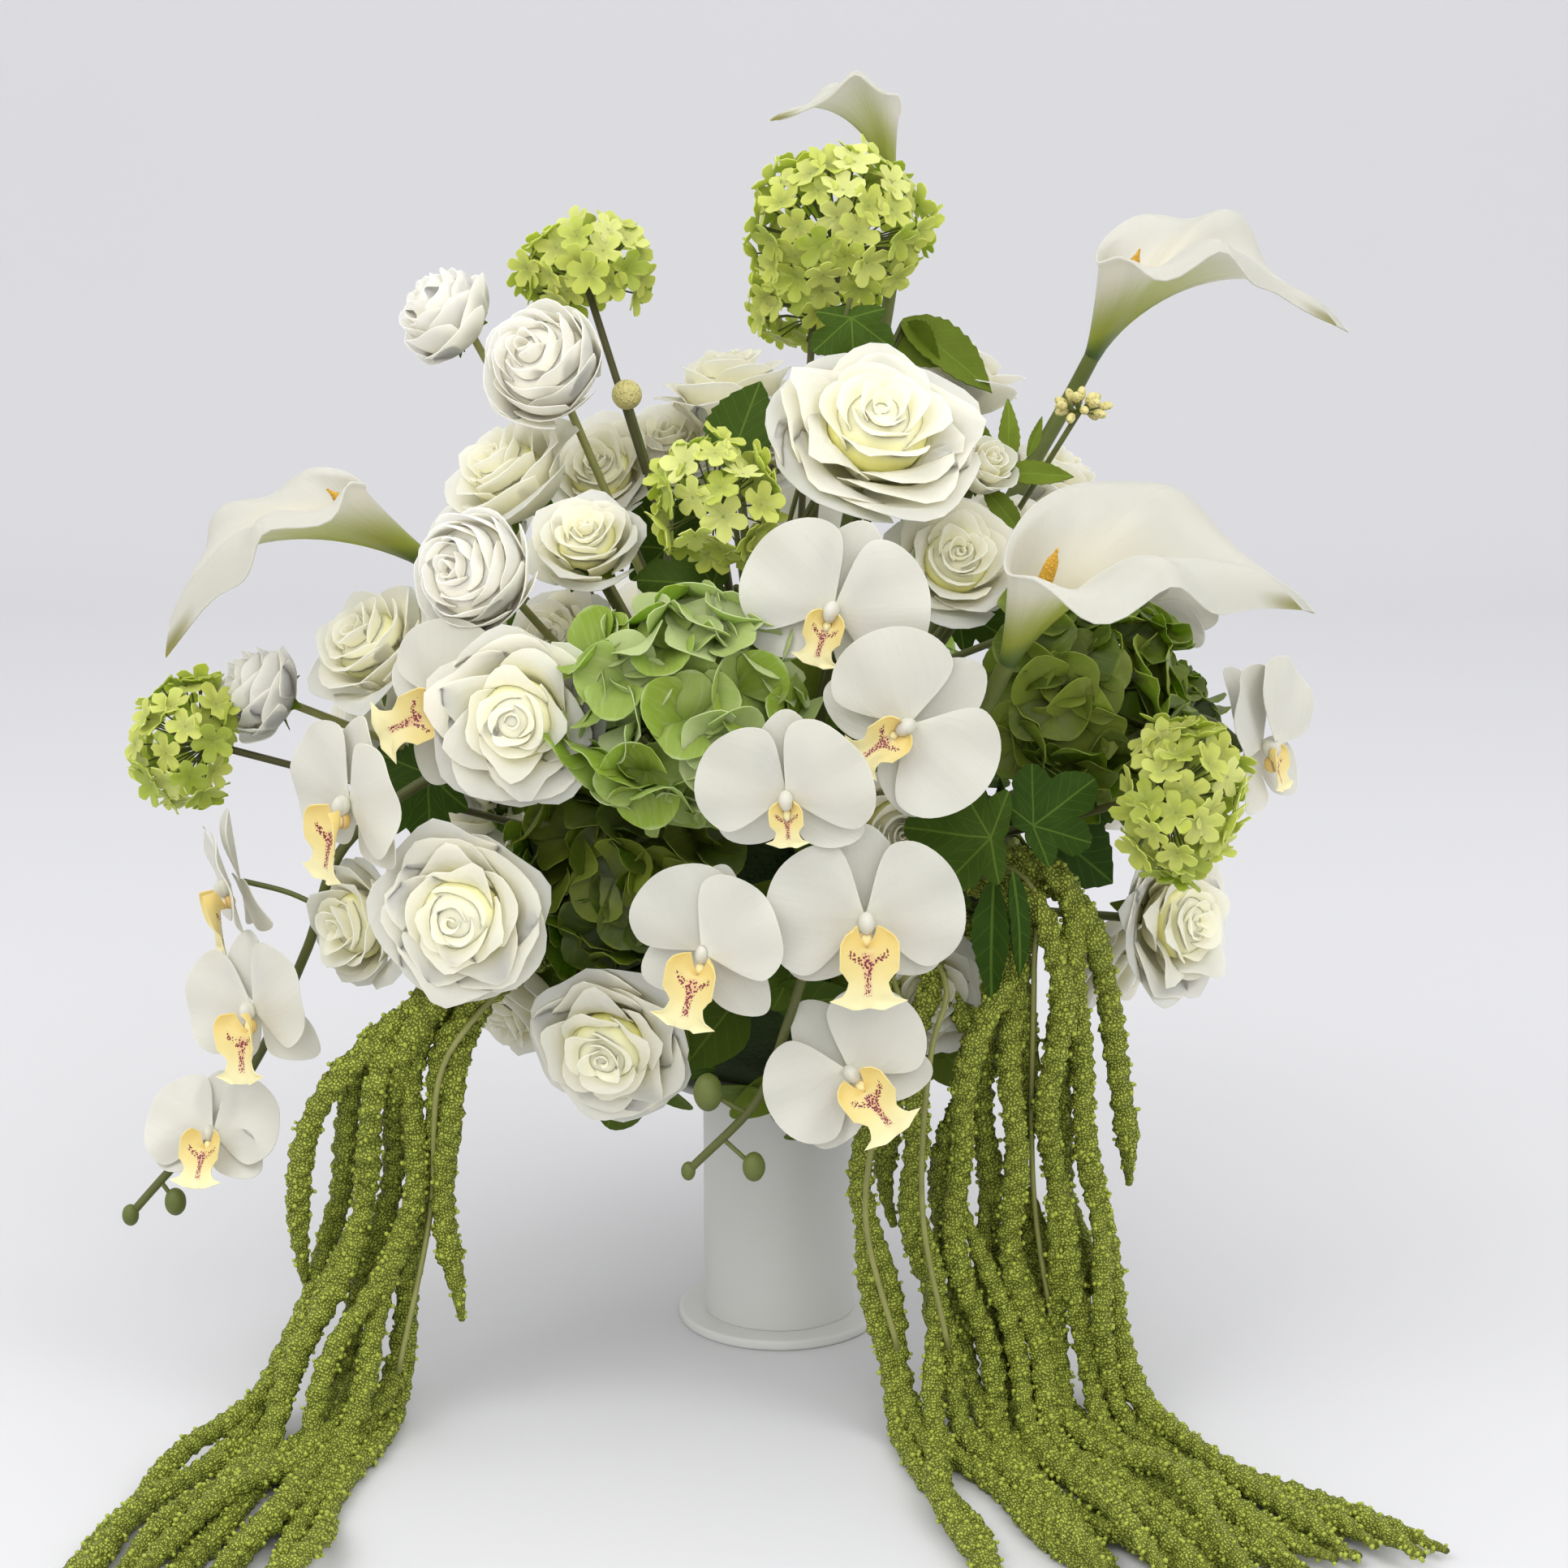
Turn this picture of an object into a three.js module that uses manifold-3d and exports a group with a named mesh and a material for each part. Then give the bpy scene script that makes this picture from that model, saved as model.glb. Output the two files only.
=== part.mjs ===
// Flower ball centerpiece: silk and foam flowers on a foam ball, on a white stand, with two falls of hanging
// amaranthus that reach down to the table. Millimetres, +Z up, front towards -Y, origin under the stand's middle.
import * as THREE from "three";
import { mergeVertices } from "three/addons/utils/BufferGeometryUtils.js";
import { ConvexGeometry } from "three/addons/geometries/ConvexGeometry.js";
import Module from "manifold-3d";

// Stand and ball.
const FOOT_RADIUS = 56;
const FOOT_HEIGHT = 6;
const COLUMN_RADIUS = 42;
const PLATE_RADIUS = 68;
const PLATE_THICKNESS = 5;
const PLATE_TOP = 148;
const CORE_RADIUS = 112;
const CORE_CENTRE = new THREE.Vector3(0, 0, 243);
const STEM_DEPTH = 12;

// Clearances and sheet thicknesses.
const GAP = 0.35;
const PETAL_THICKNESS = 1.6;
const LEAF_THICKNESS = 1.4;
const SPATHE_THICKNESS = 1.6;
const STEM_SIDES = 4;

const WHITE = { color: 0xf6f4ea, roughness: 0.6 };
const GREEN = { color: 0x6f9a1c, roughness: 0.6 };
const LIME = { color: 0xb5cf45, roughness: 0.6 };
const DARK_GREEN = { color: 0x2f6b2f, roughness: 0.6 };
const YELLOW = { color: 0xf0b730, roughness: 0.6 };
const STAND_WHITE = { color: 0xf2f2f0, roughness: 0.5 };
const FOAM = { color: 0x4d6b2a, roughness: 0.9 };

// Blooms: at is the middle of the bloom, face is the way it looks, r is its radius.
const ROSES = {
  rose_1: [{ at: [49, -110, 506], face: [0.15, -0.7, 0.75], r: 50, full: true }],
  rose_2: [{ at: [-124, -190, 374], face: [-0.15, -1, 0.05], r: 40, full: true }],
  rose_3: [{ at: [-153, -196, 279], face: [-0.2, -1, 0], r: 41, full: true }],
  rose_4: [{ at: [-84, -172, 205], face: [-0.25, -1, -0.25], r: 39, full: true }],
  rose_5: [{ at: [208, -100, 258], face: [0.8, -0.6, 0.05], r: 36, full: true }],
  rose_6: [{ at: [-208, -84, 394], face: [-0.6, -0.5, 0.7], r: 37 }],
  rose_8: [{ at: [-95, -112, 450], face: [-0.1, -0.7, 0.8], r: 30 }],
  rose_13: [{ at: [58, -168, 316], face: [0.2, -1, 0], r: 32 }],
  roses_top_left: [
    { at: [-143, -22, 474], face: [-0.6, -0.4, 0.8], r: 38 },
    { at: [-68, 54, 482], face: [-0.2, 0, 1], r: 31 },
  ],
  roses_top_back: [
    { at: [-26, 24, 515], face: [-0.1, 0, 1], r: 38 },
    { at: [96, 34, 520], face: [0.2, 0.2, 1], r: 34 },
  ],
  roses_right: [
    { at: [88, -108, 440], face: [0.1, -0.9, 0.5], r: 34 },
    { at: [104, -72, 482], face: [0.4, -0.6, 0.6], r: 18 },
    { at: [152, 48, 462], face: [0.5, 0, 0.8], r: 33 },
  ],
  roses_left_low: [
    { at: [-210, -112, 254], face: [-0.9, -0.5, -0.1], r: 30 },
    { at: [-140, -70, 196], face: [-0.5, -0.6, -0.6], r: 32 },
  ],
  rose_17: [{ at: [66, -132, 240], face: [0.2, -0.9, -0.4], r: 30 }],
  rose_18: [{ at: [180, -44, 214], face: [0.8, -0.4, -0.5], r: 32 }],
  roses_back_left: [
    { at: [-172, 92, 424], face: [-0.6, 0.5, 0.6], r: 36 },
    { at: [-226, 52, 330], face: [-0.9, 0.4, 0.1], r: 36 },
    { at: [-176, 130, 262], face: [-0.7, 0.7, -0.1], r: 34 },
  ],
  roses_back_mid: [
    { at: [-40, 150, 462], face: [-0.1, 0.6, 0.8], r: 36 },
    { at: [-74, 206, 352], face: [-0.3, 1, 0.1], r: 40 },
  ],
  roses_back_right: [
    { at: [92, 138, 446], face: [0.4, 0.6, 0.7], r: 36 },
    { at: [188, 76, 400], face: [0.8, 0.4, 0.5], r: 34 },
    { at: [188, 116, 286], face: [0.8, 0.6, 0], r: 36 },
  ],
  roses_back_low: [
    { at: [-60, 148, 204], face: [-0.2, 0.9, -0.4], r: 34 },
    { at: [72, 156, 216], face: [0.3, 0.9, -0.3], r: 36 },
  ],
};

// Rounder, whiter, fuller heads on longer stems.
const RANUNCULUS = {
  ranunculus_1: { at: [-177, 34, 551], face: [-0.8, -0.3, 0.6], r: 27 },
  ranunculus_2: { at: [-121, -36, 530], face: [-0.35, -0.8, 0.5], r: 32 },
  ranunculus_3: { at: [-148, -142, 438], face: [-0.5, -0.9, 0.2], r: 31 },
  ranunculus_4: { at: [-268, -56, 363], face: [-0.9, -0.3, 0.4], r: 25 },
};

// Calla lilies: at is where the funnel leaves the stem, axis runs up the funnel, tip is the side of the tongue.
const CALLAS = {
  calla_1: { at: [63, 66, 624], axis: [-0.15, 0, 1], tip: [-1, -0.3, 0.2], size: 0.66 },
  calla_2: { at: [164, 0, 532], axis: [0.24, -0.2, 0.93], tip: [1, -0.1, 0.05], size: 1.12 },
  calla_3: { at: [108, -190, 402], axis: [0.2, -0.5, 0.84], tip: [1, -0.1, 0], size: 1.14 },
  calla_4: { at: [-182, -44, 430], axis: [-0.7, -0.2, 0.7], tip: [-0.8, -0.2, -0.5], size: 1.08 },
};

// Snowball viburnum heads, round and lime green, and mophead hydrangeas, broader and flatter.
const VIBURNUMS = {
  viburnum_1: { at: [-102, 22, 576], face: [-0.1, 0.1, 1], r: 39, squash: 0.75 },
  viburnum_2: { at: [30, -6, 594], face: [0, -0.5, 0.9], r: 50, squash: 0.95 },
  viburnum_3: { at: [-31, -134, 472], face: [0, -0.8, 0.5], r: 34, squash: 0.9 },
  viburnum_4: { at: [-306, -62, 338], face: [-0.9, -0.2, 0.1], r: 38, squash: 0.8 },
  viburnum_5: { at: [192, -184, 338], face: [0.5, -0.8, 0], r: 40, squash: 0.9 },
  viburnum_6: { at: [20, 118, 556], face: [0.1, 0.5, 0.9], r: 40, squash: 0.9 },
};
const HYDRANGEAS = {
  hydrangea_light: { at: [-44, -182, 378], face: [0, -1, 0.1], r: 62, squash: 0.6, tone: LIME },
  hydrangea_front: { at: [-76, -140, 284], face: [-0.2, -1, -0.1], r: 60, squash: 0.6, tone: GREEN },
  hydrangea_right: { at: [152, -118, 374], face: [0.6, -0.8, 0.2], r: 60, squash: 0.6, tone: GREEN },
  hydrangea_back: { at: [52, 196, 340], face: [0.3, 1, 0], r: 60, squash: 0.6, tone: LIME },
  hydrangea_back_left: { at: [-126, 150, 206], face: [-0.6, 0.8, -0.2], r: 46, squash: 0.6, tone: GREEN },
  hydrangea_side: { at: [206, 28, 320], face: [1, 0.1, 0], r: 50, squash: 0.6, tone: GREEN },
};

// Moth orchid sprays: the stem's route from the core outwards, then each bloom on it.
const ORCHID_SPRAYS = {
  orchid_spray_left: {
    stem: [
      [-60, -60, 270],
      [-140, -110, 340],
      [-215, -120, 300],
      [-240, -112, 240],
      [-275, -105, 170],
      [-336, -110, 98],
    ],
    blooms: [
      { at: [-172, -158, 376], face: [-0.2, -1, 0.2], up: [0.9, 0, 0.4], r: 42 },
      { at: [-206, -170, 330], face: [-0.8, -0.7, 0], up: [0.2, 0, 1], r: 44 },
      { at: [-276, -112, 275], face: [-0.9, -0.3, -0.2], up: [-0.3, 0, 1], r: 40 },
      { at: [-262, -140, 218], face: [-0.6, -0.9, 0.1], up: [-0.2, 0, 1], r: 42 },
      { at: [-290, -116, 144], face: [-0.2, -0.8, 0.5], up: [0.1, 0.5, 1], r: 36 },
    ],
  },
  orchid_spray_middle: {
    stem: [
      [16, -62, 318],
      [30, -150, 400],
      [44, -196, 372],
      [24, -212, 300],
      [4, -210, 230],
      [-10, -200, 190],
      [-44, -196, 152],
    ],
    blooms: [
      { at: [26, -196, 428], face: [-0.1, -1, 0.2], up: [-0.3, 0, 1], r: 46 },
      { at: [60, -222, 378], face: [0.1, -1, 0.1], up: [-0.2, 0, 1], r: 46 },
      { at: [2, -246, 352], face: [-0.1, -1, -0.1], up: [0.2, 0, 1], r: 40 },
      { at: [40, -238, 290], face: [0.1, -1, 0], up: [0, 0, 1], r: 46 },
      { at: [-38, -232, 262], face: [-0.1, -1, 0], up: [-0.3, 0, 1], r: 42 },
      { at: [34, -220, 210], face: [0, -0.9, -0.3], up: [0.5, 0, 1], r: 42 },
    ],
  },
  orchid_spray_right: {
    stem: [
      [78, -20, 296],
      [170, -50, 350],
      [226, -40, 345],
      [240, -48, 335],
    ],
    blooms: [
      { at: [250, -62, 334], face: [0.9, -0.3, 0], up: [-0.1, 0, 1], r: 40 },
      { at: [214, 10, 400], face: [0.8, 0.1, 0.4], up: [0, 0, 1], r: 38 },
    ],
  },
  orchid_spray_back: {
    stem: [
      [-8, 74, 300],
      [-10, 190, 420],
      [0, 236, 380],
      [-10, 246, 280],
      [-16, 236, 200],
    ],
    blooms: [
      { at: [8, 226, 420], face: [0.1, 1, 0.2], up: [0, 0, 1], r: 42 },
      { at: [-24, 256, 300], face: [-0.1, 1, 0], up: [0.1, 0, 1], r: 42 },
      { at: [0, 246, 224], face: [0.1, 1, -0.1], up: [-0.1, 0, 1], r: 40 },
    ],
  },
};

// Leafy stems: each leaf's foot, the way it points, the way its face looks, its length and its lobes.
const LEAVES = {
  leaves_top: [
    { at: [-22, -30, 512], along: [-0.6, -0.2, 0.7], face: [0, -1, 0.3], length: 50, lobes: 3 },
    { at: [40, -22, 560], along: [0.1, -0.4, -0.9], face: [0, -1, 0.2], length: 42, lobes: 3 },
    { at: [76, 10, 536], along: [0.7, -0.4, 0.2], face: [0.2, -0.8, 0.7], length: 56, lobes: 1 },
  ],
  leaves_middle: [
    { at: [-20, -120, 428], along: [-0.9, -0.2, 0.1], face: [0, -1, 0.2], length: 52, lobes: 3 },
    { at: [-12, -120, 434], along: [0.9, -0.2, 0.3], face: [0, -1, 0.4], length: 50, lobes: 3 },
  ],
  leaves_right: [
    { at: [104, -206, 352], along: [-0.2, -0.2, -0.9], face: [0, -1, 0.1], length: 66, lobes: 3 },
    { at: [112, -196, 340], along: [0.9, -0.1, 0.35], face: [0, -1, 0.2], length: 56, lobes: 3 },
    { at: [104, -180, 300], along: [0, -0.1, -1], face: [-0.2, -1, 0], length: 60, lobes: 1 },
  ],
  leaves_left: [
    { at: [-140, -70, 392], along: [-0.5, -0.3, 0.8], face: [-0.3, -1, 0.4], length: 60, lobes: 3 },
    { at: [-170, -60, 330], along: [-0.8, -0.4, -0.3], face: [-0.4, -1, 0.3], length: 66, lobes: 3 },
    { at: [-160, -10, 250], along: [-0.8, 0.2, -0.4], face: [-0.6, 0.2, 0.8], length: 66, lobes: 3 },
  ],
  leaves_back: [
    { at: [-60, 150, 400], along: [-0.4, 0.3, 0.8], face: [-0.2, 1, 0.4], length: 66, lobes: 3 },
    { at: [90, 160, 370], along: [0.8, 0.3, 0.5], face: [0.3, 1, 0.3], length: 66, lobes: 3 },
    { at: [20, 180, 270], along: [0.1, 0.4, -0.9], face: [0, 1, 0.4], length: 66, lobes: 3 },
  ],
};
const BERRY_SPRAY = { tip: [156, -60, 508], berries: 6 };

// Falls of amaranthus: where the ropes start, where they meet the table and where they end, from the first rope to
// the last.
const ROPE_RADIUS = 7.5;
const ROPE_FLOOR = 0.4;
const FALLS = {
  amaranthus_left: {
    collar: [-178, -142, 228],
    spread: [32, 26, 14],
    ropes: 7,
    waist: { from: [-224, -136, 110], to: [-166, -142, 110] },
    landing: { from: [-282, -160, 0], to: [-192, -166, 0] },
    end: { from: [-352, -340, 0], to: [-214, -384, 0] },
    tips: [0, 5],
  },
  amaranthus_right: {
    collar: [124, -150, 262],
    spread: [38, 26, 16],
    ropes: 10,
    waist: { from: [50, -150, 120], to: [172, -130, 120] },
    landing: { from: [70, -150, 0], to: [198, -140, 0] },
    end: { from: [104, -372, 0], to: [316, -320, 0] },
    tips: [1, 7],
  },
};

const wasm = await Module();
wasm.setup();
const v3 = (p) => (p.isVector3 ? p.clone() : new THREE.Vector3(...p));

// A number from 0 to 1 that is always the same for the same seed.
function draw(seed) {
  const s = Math.sin(seed * 12.9898 + 4.1414) * 43758.5453;
  return s - Math.floor(s);
}

// A geometry as a closed solid.
function solidOf(geometry) {
  const loose = geometry.index ? geometry.toNonIndexed() : geometry;
  const bare = new THREE.BufferGeometry().setAttribute("position", loose.getAttribute("position"));
  const merged = mergeVertices(bare, 1e-4);
  return new wasm.Manifold(
    new wasm.Mesh({
      numProp: 3,
      vertProperties: merged.attributes.position.array,
      triVerts: new Uint32Array(merged.index.array),
    }),
  );
}

// Triangles, as corner triples, as a closed solid with its faces pointing out.
function closed(triangles) {
  const real = triangles.filter(([a, b, c]) => !a.equals(b) && !b.equals(c) && !c.equals(a));
  const volume = real.reduce((sum, [a, b, c]) => sum + a.dot(b.clone().cross(c)), 0);
  const points = real.flatMap(([a, b, c]) => (volume < 0 ? [a, c, b] : [a, b, c]));
  return solidOf(new THREE.BufferGeometry().setFromPoints(points));
}

const join = (solids) => solids.reduce((all, one) => all.add(one));

// The frame of something at a place that faces a way, with its own +Y as near to up as can be.
function frameOf(at, face, up = [0, 0, 1], roll = 0) {
  const z = v3(face).normalize();
  const y = v3(up).addScaledVector(z, -v3(up).dot(z));
  if (y.lengthSq() < 1e-3) y.set(0, 1, 0).addScaledVector(z, -z.y);
  y.normalize();
  const x = y.clone().cross(z);
  const turn = new THREE.Matrix4().makeRotationZ(roll);
  return new THREE.Matrix4().makeBasis(x, y, z).setPosition(v3(at)).multiply(turn);
}

// A solid between a rim and two points, one on each side of it.
function fan(rim, top, bottom) {
  return closed(
    rim.flatMap((p, i) => {
      const next = rim[(i + 1) % rim.length];
      return [[p, next, top], [next, p, bottom]];
    }),
  );
}

// A limb along a smooth curve, its radius given by a rule, and closed at both ends. With one step from each point to
// the next it goes through the points themselves, else its steps are even. It can go on past its last point, and it
// stays above a floor.
function limb(points, radiusAt, steps, { sides = STEM_SIDES, twist = 0, past = 0, floor = -1 } = {}) {
  const curve = new THREE.CatmullRomCurve3(points.map(v3), false, "centripetal");
  const frames = curve.computeFrenetFrames(steps, false);
  const rings = [];
  for (let i = 0; i <= steps; i++) {
    const middle = steps === points.length - 1 ? v3(points[i]) : curve.getPointAt(i / steps);
    const ring = [];
    for (let k = 0; k < sides; k++) {
      const angle = (k / sides) * 2 * Math.PI + i * twist;
      const radius = radiusAt(i / steps, k, i);
      const offset = frames.normals[i].clone().multiplyScalar(Math.cos(angle) * radius);
      const point = middle.clone().add(offset).addScaledVector(frames.binormals[i], Math.sin(angle) * radius);
      ring.push(point.setZ(Math.max(point.z, floor)));
    }
    rings.push(ring);
  }
  if (past) rings.push(rings[steps].map((p) => p.clone().addScaledVector(frames.tangents[steps], past)));
  const last = rings.length - 1;
  const triangles = [];
  for (let i = 0; i < last; i++)
    for (let k = 0; k < sides; k++) {
      const j = (k + 1) % sides;
      triangles.push([rings[i][k], rings[i][j], rings[i + 1][j]], [rings[i][k], rings[i + 1][j], rings[i + 1][k]]);
    }
  for (let k = 1; k < sides - 1; k++) {
    triangles.push([rings[0][0], rings[0][k + 1], rings[0][k]]);
    triangles.push([rings[last][0], rings[last][k], rings[last][k + 1]]);
  }
  return closed(triangles);
}

// A stem and the room that others must leave for it.
function stem(points, radius, steps) {
  return {
    solid: limb(points, () => radius, steps),
    room: limb(points, () => radius + 2 * GAP, steps, { past: 2 * GAP }),
  };
}

// The convex room round a solid's points, a little larger than it.
function roomRound(solid) {
  const mesh = solid.getMesh();
  const points = [];
  for (let i = 0; i < mesh.numVert; i++)
    points.push(new THREE.Vector3().fromArray(mesh.vertProperties, i * mesh.numProp));
  const middle = points.reduce((sum, p) => sum.add(p), new THREE.Vector3()).divideScalar(points.length);
  const grown = points.map((p) => {
    const out = p.clone().sub(middle);
    return middle.clone().addScaledVector(out, 1 + (2 * GAP) / Math.max(out.length(), 4 * GAP));
  });
  return solidOf(new ConvexGeometry(grown));
}

// The faces of a petal that grows from a four-sided foot, given as its low edge and its high edge. It is thick in the
// middle, between front and back, and thin at its sides and its lip.
function petalFaces([low0, low1], [high0, high1], { left, right, front, back, lipLeft, lipRight }) {
  return [
    [high1, high0, front],
    [high0, left, front],
    [high1, front, right],
    [low0, low1, back],
    [low0, back, left],
    [low1, right, back],
    [high0, low0, left],
    [low1, high1, right],
    [front, left, lipLeft],
    [front, lipLeft, lipRight],
    [front, lipRight, right],
    [left, back, lipLeft],
    [back, lipRight, lipLeft],
    [back, right, lipRight],
  ];
}

// A bloom whose petals grow out of the sides of a short rod, one band of it for each whorl, from the lowest to the
// highest. petalAt gives a band's petal on one of its sides, or nothing where that side stays plain.
function bloomOnRod(frame, { sides, radius, heights, twist }, petalAt) {
  const rings = heights.map((height, band) =>
    Array.from({ length: sides }, (_, k) => {
      const angle = ((k - 0.5 + band * twist) / sides) * 2 * Math.PI;
      return new THREE.Vector3(radius * Math.cos(angle), radius * Math.sin(angle), height).applyMatrix4(frame);
    }),
  );
  const faces = [];
  for (let band = 0; band + 1 < rings.length; band++)
    for (let k = 0; k < sides; k++) {
      const j = (k + 1) % sides;
      const low = [rings[band][k], rings[band][j]];
      const high = [rings[band + 1][k], rings[band + 1][j]];
      const petal = petalAt(band, k);
      if (petal) faces.push(...petalFaces(low, high, petal));
      else faces.push([low[0], low[1], high[1]], [low[0], high[1], high[0]]);
    }
  const bottom = rings[0];
  const top = rings[rings.length - 1];
  for (let k = 1; k < sides - 1; k++) {
    faces.push([bottom[0], bottom[k + 1], bottom[k]]);
    faces.push([top[0], top[k], top[k + 1]]);
  }
  return closed(faces);
}

// Whorls of a cup-shaped bloom, from the outermost: radius, height and half angle of the belly and of the lip, all by
// the bloom's radius.
const ROSE = {
  sides: 5,
  whorls: [
    { belly: [0.72, -0.26, 0.58], lip: [0.97, 0.02, 0.46] },
    { belly: [0.5, -0.08, 0.58], lip: [0.58, 0.24, 0.46] },
    { belly: [0.27, 0.06, 0.58], lip: [0.26, 0.36, 0.5] },
  ],
};
const SMALL_ROSE = {
  sides: 4,
  whorls: [
    { belly: [0.72, -0.24, 0.72], lip: [0.97, 0.02, 0.5] },
    { belly: [0.38, 0.02, 0.72], lip: [0.42, 0.34, 0.6] },
  ],
};
const RANUNCULUS_CUP = {
  sides: 5,
  whorls: [
    { belly: [0.94, -0.12, 0.58], lip: [0.74, 0.42, 0.5] },
    { belly: [0.52, 0.04, 0.58], lip: [0.34, 0.5, 0.54] },
  ],
};
const ROD_FOOT = -0.62;
const ROD_BAND = 0.16;
const ROD_RADIUS = 0.13;
const ROD_LEAST = 4.8;

function cupBloom({ at, face, r }, { sides, whorls }, seed) {
  const frame = frameOf(at, face, [0, 0, 1], seed);
  const onRay = (radius, height, angle) => {
    const point = new THREE.Vector3(radius * Math.cos(angle), radius * Math.sin(angle), height);
    return point.multiplyScalar(r).applyMatrix4(frame);
  };
  const half = PETAL_THICKNESS / (2 * r);
  const petalAt = (band, k) => {
    const turn = ((k + band / 2 + 0.25) / sides) * 2 * Math.PI;
    const grow = 1 + 0.04 * (k % 2);
    const [[radius, height, spread], [lipRadius, lipHeight, lipSpread]] = [whorls[band].belly, whorls[band].lip];
    const lean = Math.atan2(lipRadius - radius, lipHeight - height);
    const middle = (way) =>
      onRay(radius * grow * 1.05 - way * half * Math.cos(lean), height + way * half * Math.sin(lean), turn);
    return {
      left: onRay(radius * grow, height, turn - spread),
      right: onRay(radius * grow, height, turn + spread),
      front: middle(1),
      back: middle(-1),
      lipLeft: onRay(lipRadius * grow, lipHeight, turn - lipSpread),
      lipRight: onRay(lipRadius * grow, lipHeight, turn + lipSpread),
    };
  };
  const heights = [...whorls, null].map((_, band) => (ROD_FOOT + band * ROD_BAND) * r);
  const rod = { sides, radius: Math.max(ROD_RADIUS * r, ROD_LEAST), heights, twist: 0.5 };
  const foot = new THREE.Vector3(0, 0, ROD_FOOT * r + 1.5).applyMatrix4(frame);
  return { solid: bloomOnRod(frame, rod, petalAt), foot };
}

// The twelve sides of a dodecahedron: each one's normal and its five corners in order, all one unit from the middle.
function dodecahedronSides() {
  const corners = new THREE.IcosahedronGeometry(1).getAttribute("position");
  const faces = [];
  const normals = [];
  for (let i = 0; i < corners.count; i += 3) {
    const triple = [0, 1, 2].map((k) => new THREE.Vector3().fromBufferAttribute(corners, i + k));
    faces.push(triple[0].clone().add(triple[1]).add(triple[2]).normalize());
    triple.forEach((p) => normals.some((n) => n.distanceTo(p) < 1e-3) || normals.push(p));
  }
  const toFoot = new THREE.Quaternion().setFromUnitVectors(normals[0], new THREE.Vector3(0, 0, -1));
  return normals.map((normal) => {
    const near = faces.slice().sort((p, q) => p.distanceTo(normal) - q.distanceTo(normal)).slice(0, 5);
    const flat = frameOf([0, 0, 0], normal).invert();
    const angleOf = (p) => Math.atan2(...p.clone().applyMatrix4(flat).toArray().slice(0, 2).reverse());
    near.sort((p, q) => angleOf(p) - angleOf(q));
    return {
      normal: normal.clone().applyQuaternion(toFoot),
      corners: near.map((p) => p.clone().applyQuaternion(toFoot)),
    };
  });
}
const HEAD_SIDES = dodecahedronSides();
const HEAD_CORE = 0.56;

// A ball or mop of florets: each is a five-cornered cup with a ruffled rim that narrows to the core between them.
function headOfFlorets({ at, face, r, squash }, wave, seed) {
  const frame = frameOf(at, face, [0, 0, 1], seed).scale(new THREE.Vector3(r, r, r * squash));
  const placed = (p) => p.clone().applyMatrix4(frame);
  const faces = HEAD_SIDES.flatMap(({ normal, corners }, n) => {
    const base = corners.map((p) => placed(p.clone().multiplyScalar(HEAD_CORE)));
    if (normal.z < -0.99) return [1, 2, 3].map((i) => [base[0], base[i], base[i + 1]]);
    const rim = corners.map((p, i) => {
      const reach = normal.clone().lerp(p, 0.78).normalize();
      return placed(reach.multiplyScalar(1 - wave * draw(n * 5 + i + seed)));
    });
    const middle = placed(normal.clone().multiplyScalar(0.86));
    return rim.flatMap((p, i) => {
      const j = (i + 1) % rim.length;
      return [[base[i], base[j], rim[j]], [base[i], rim[j], p], [p, rim[j], middle]];
    });
  });
  return { solid: closed(faces), foot: new THREE.Vector3(0, 0, -0.36).applyMatrix4(frame) };
}

// A calla's spathe: a funnel that opens into a wide lip, short at the front, long and drawn to a tip at the back.
const SPATHE_TURNS = 10;
const SPATHE_LEVELS = [
  { reach: 0.06, height: 0 },
  { reach: 0.26, height: 34 },
  { reach: 0.62, height: 58 },
  { reach: 1, height: 66 },
];
const SPATHE_FLOOR = 12;

function spathePoint(level, k, inset, size) {
  const turn = (k / SPATHE_TURNS) * 2 * Math.PI;
  const tongue = (1 + Math.cos(turn)) / 2;
  const lip = 26 + 30 * tongue + 50 * tongue ** 8;
  const { reach, height } = level;
  const radius = 4 + (lip - 4) * reach - inset;
  const rise = height + (reach > 0.5 ? 16 * tongue * (1 - tongue) * 2 : 0) - 26 * reach ** 3 * tongue ** 6;
  return new THREE.Vector3(radius * Math.cos(turn) * size, radius * Math.sin(turn) * size, (rise + inset) * size);
}

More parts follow.
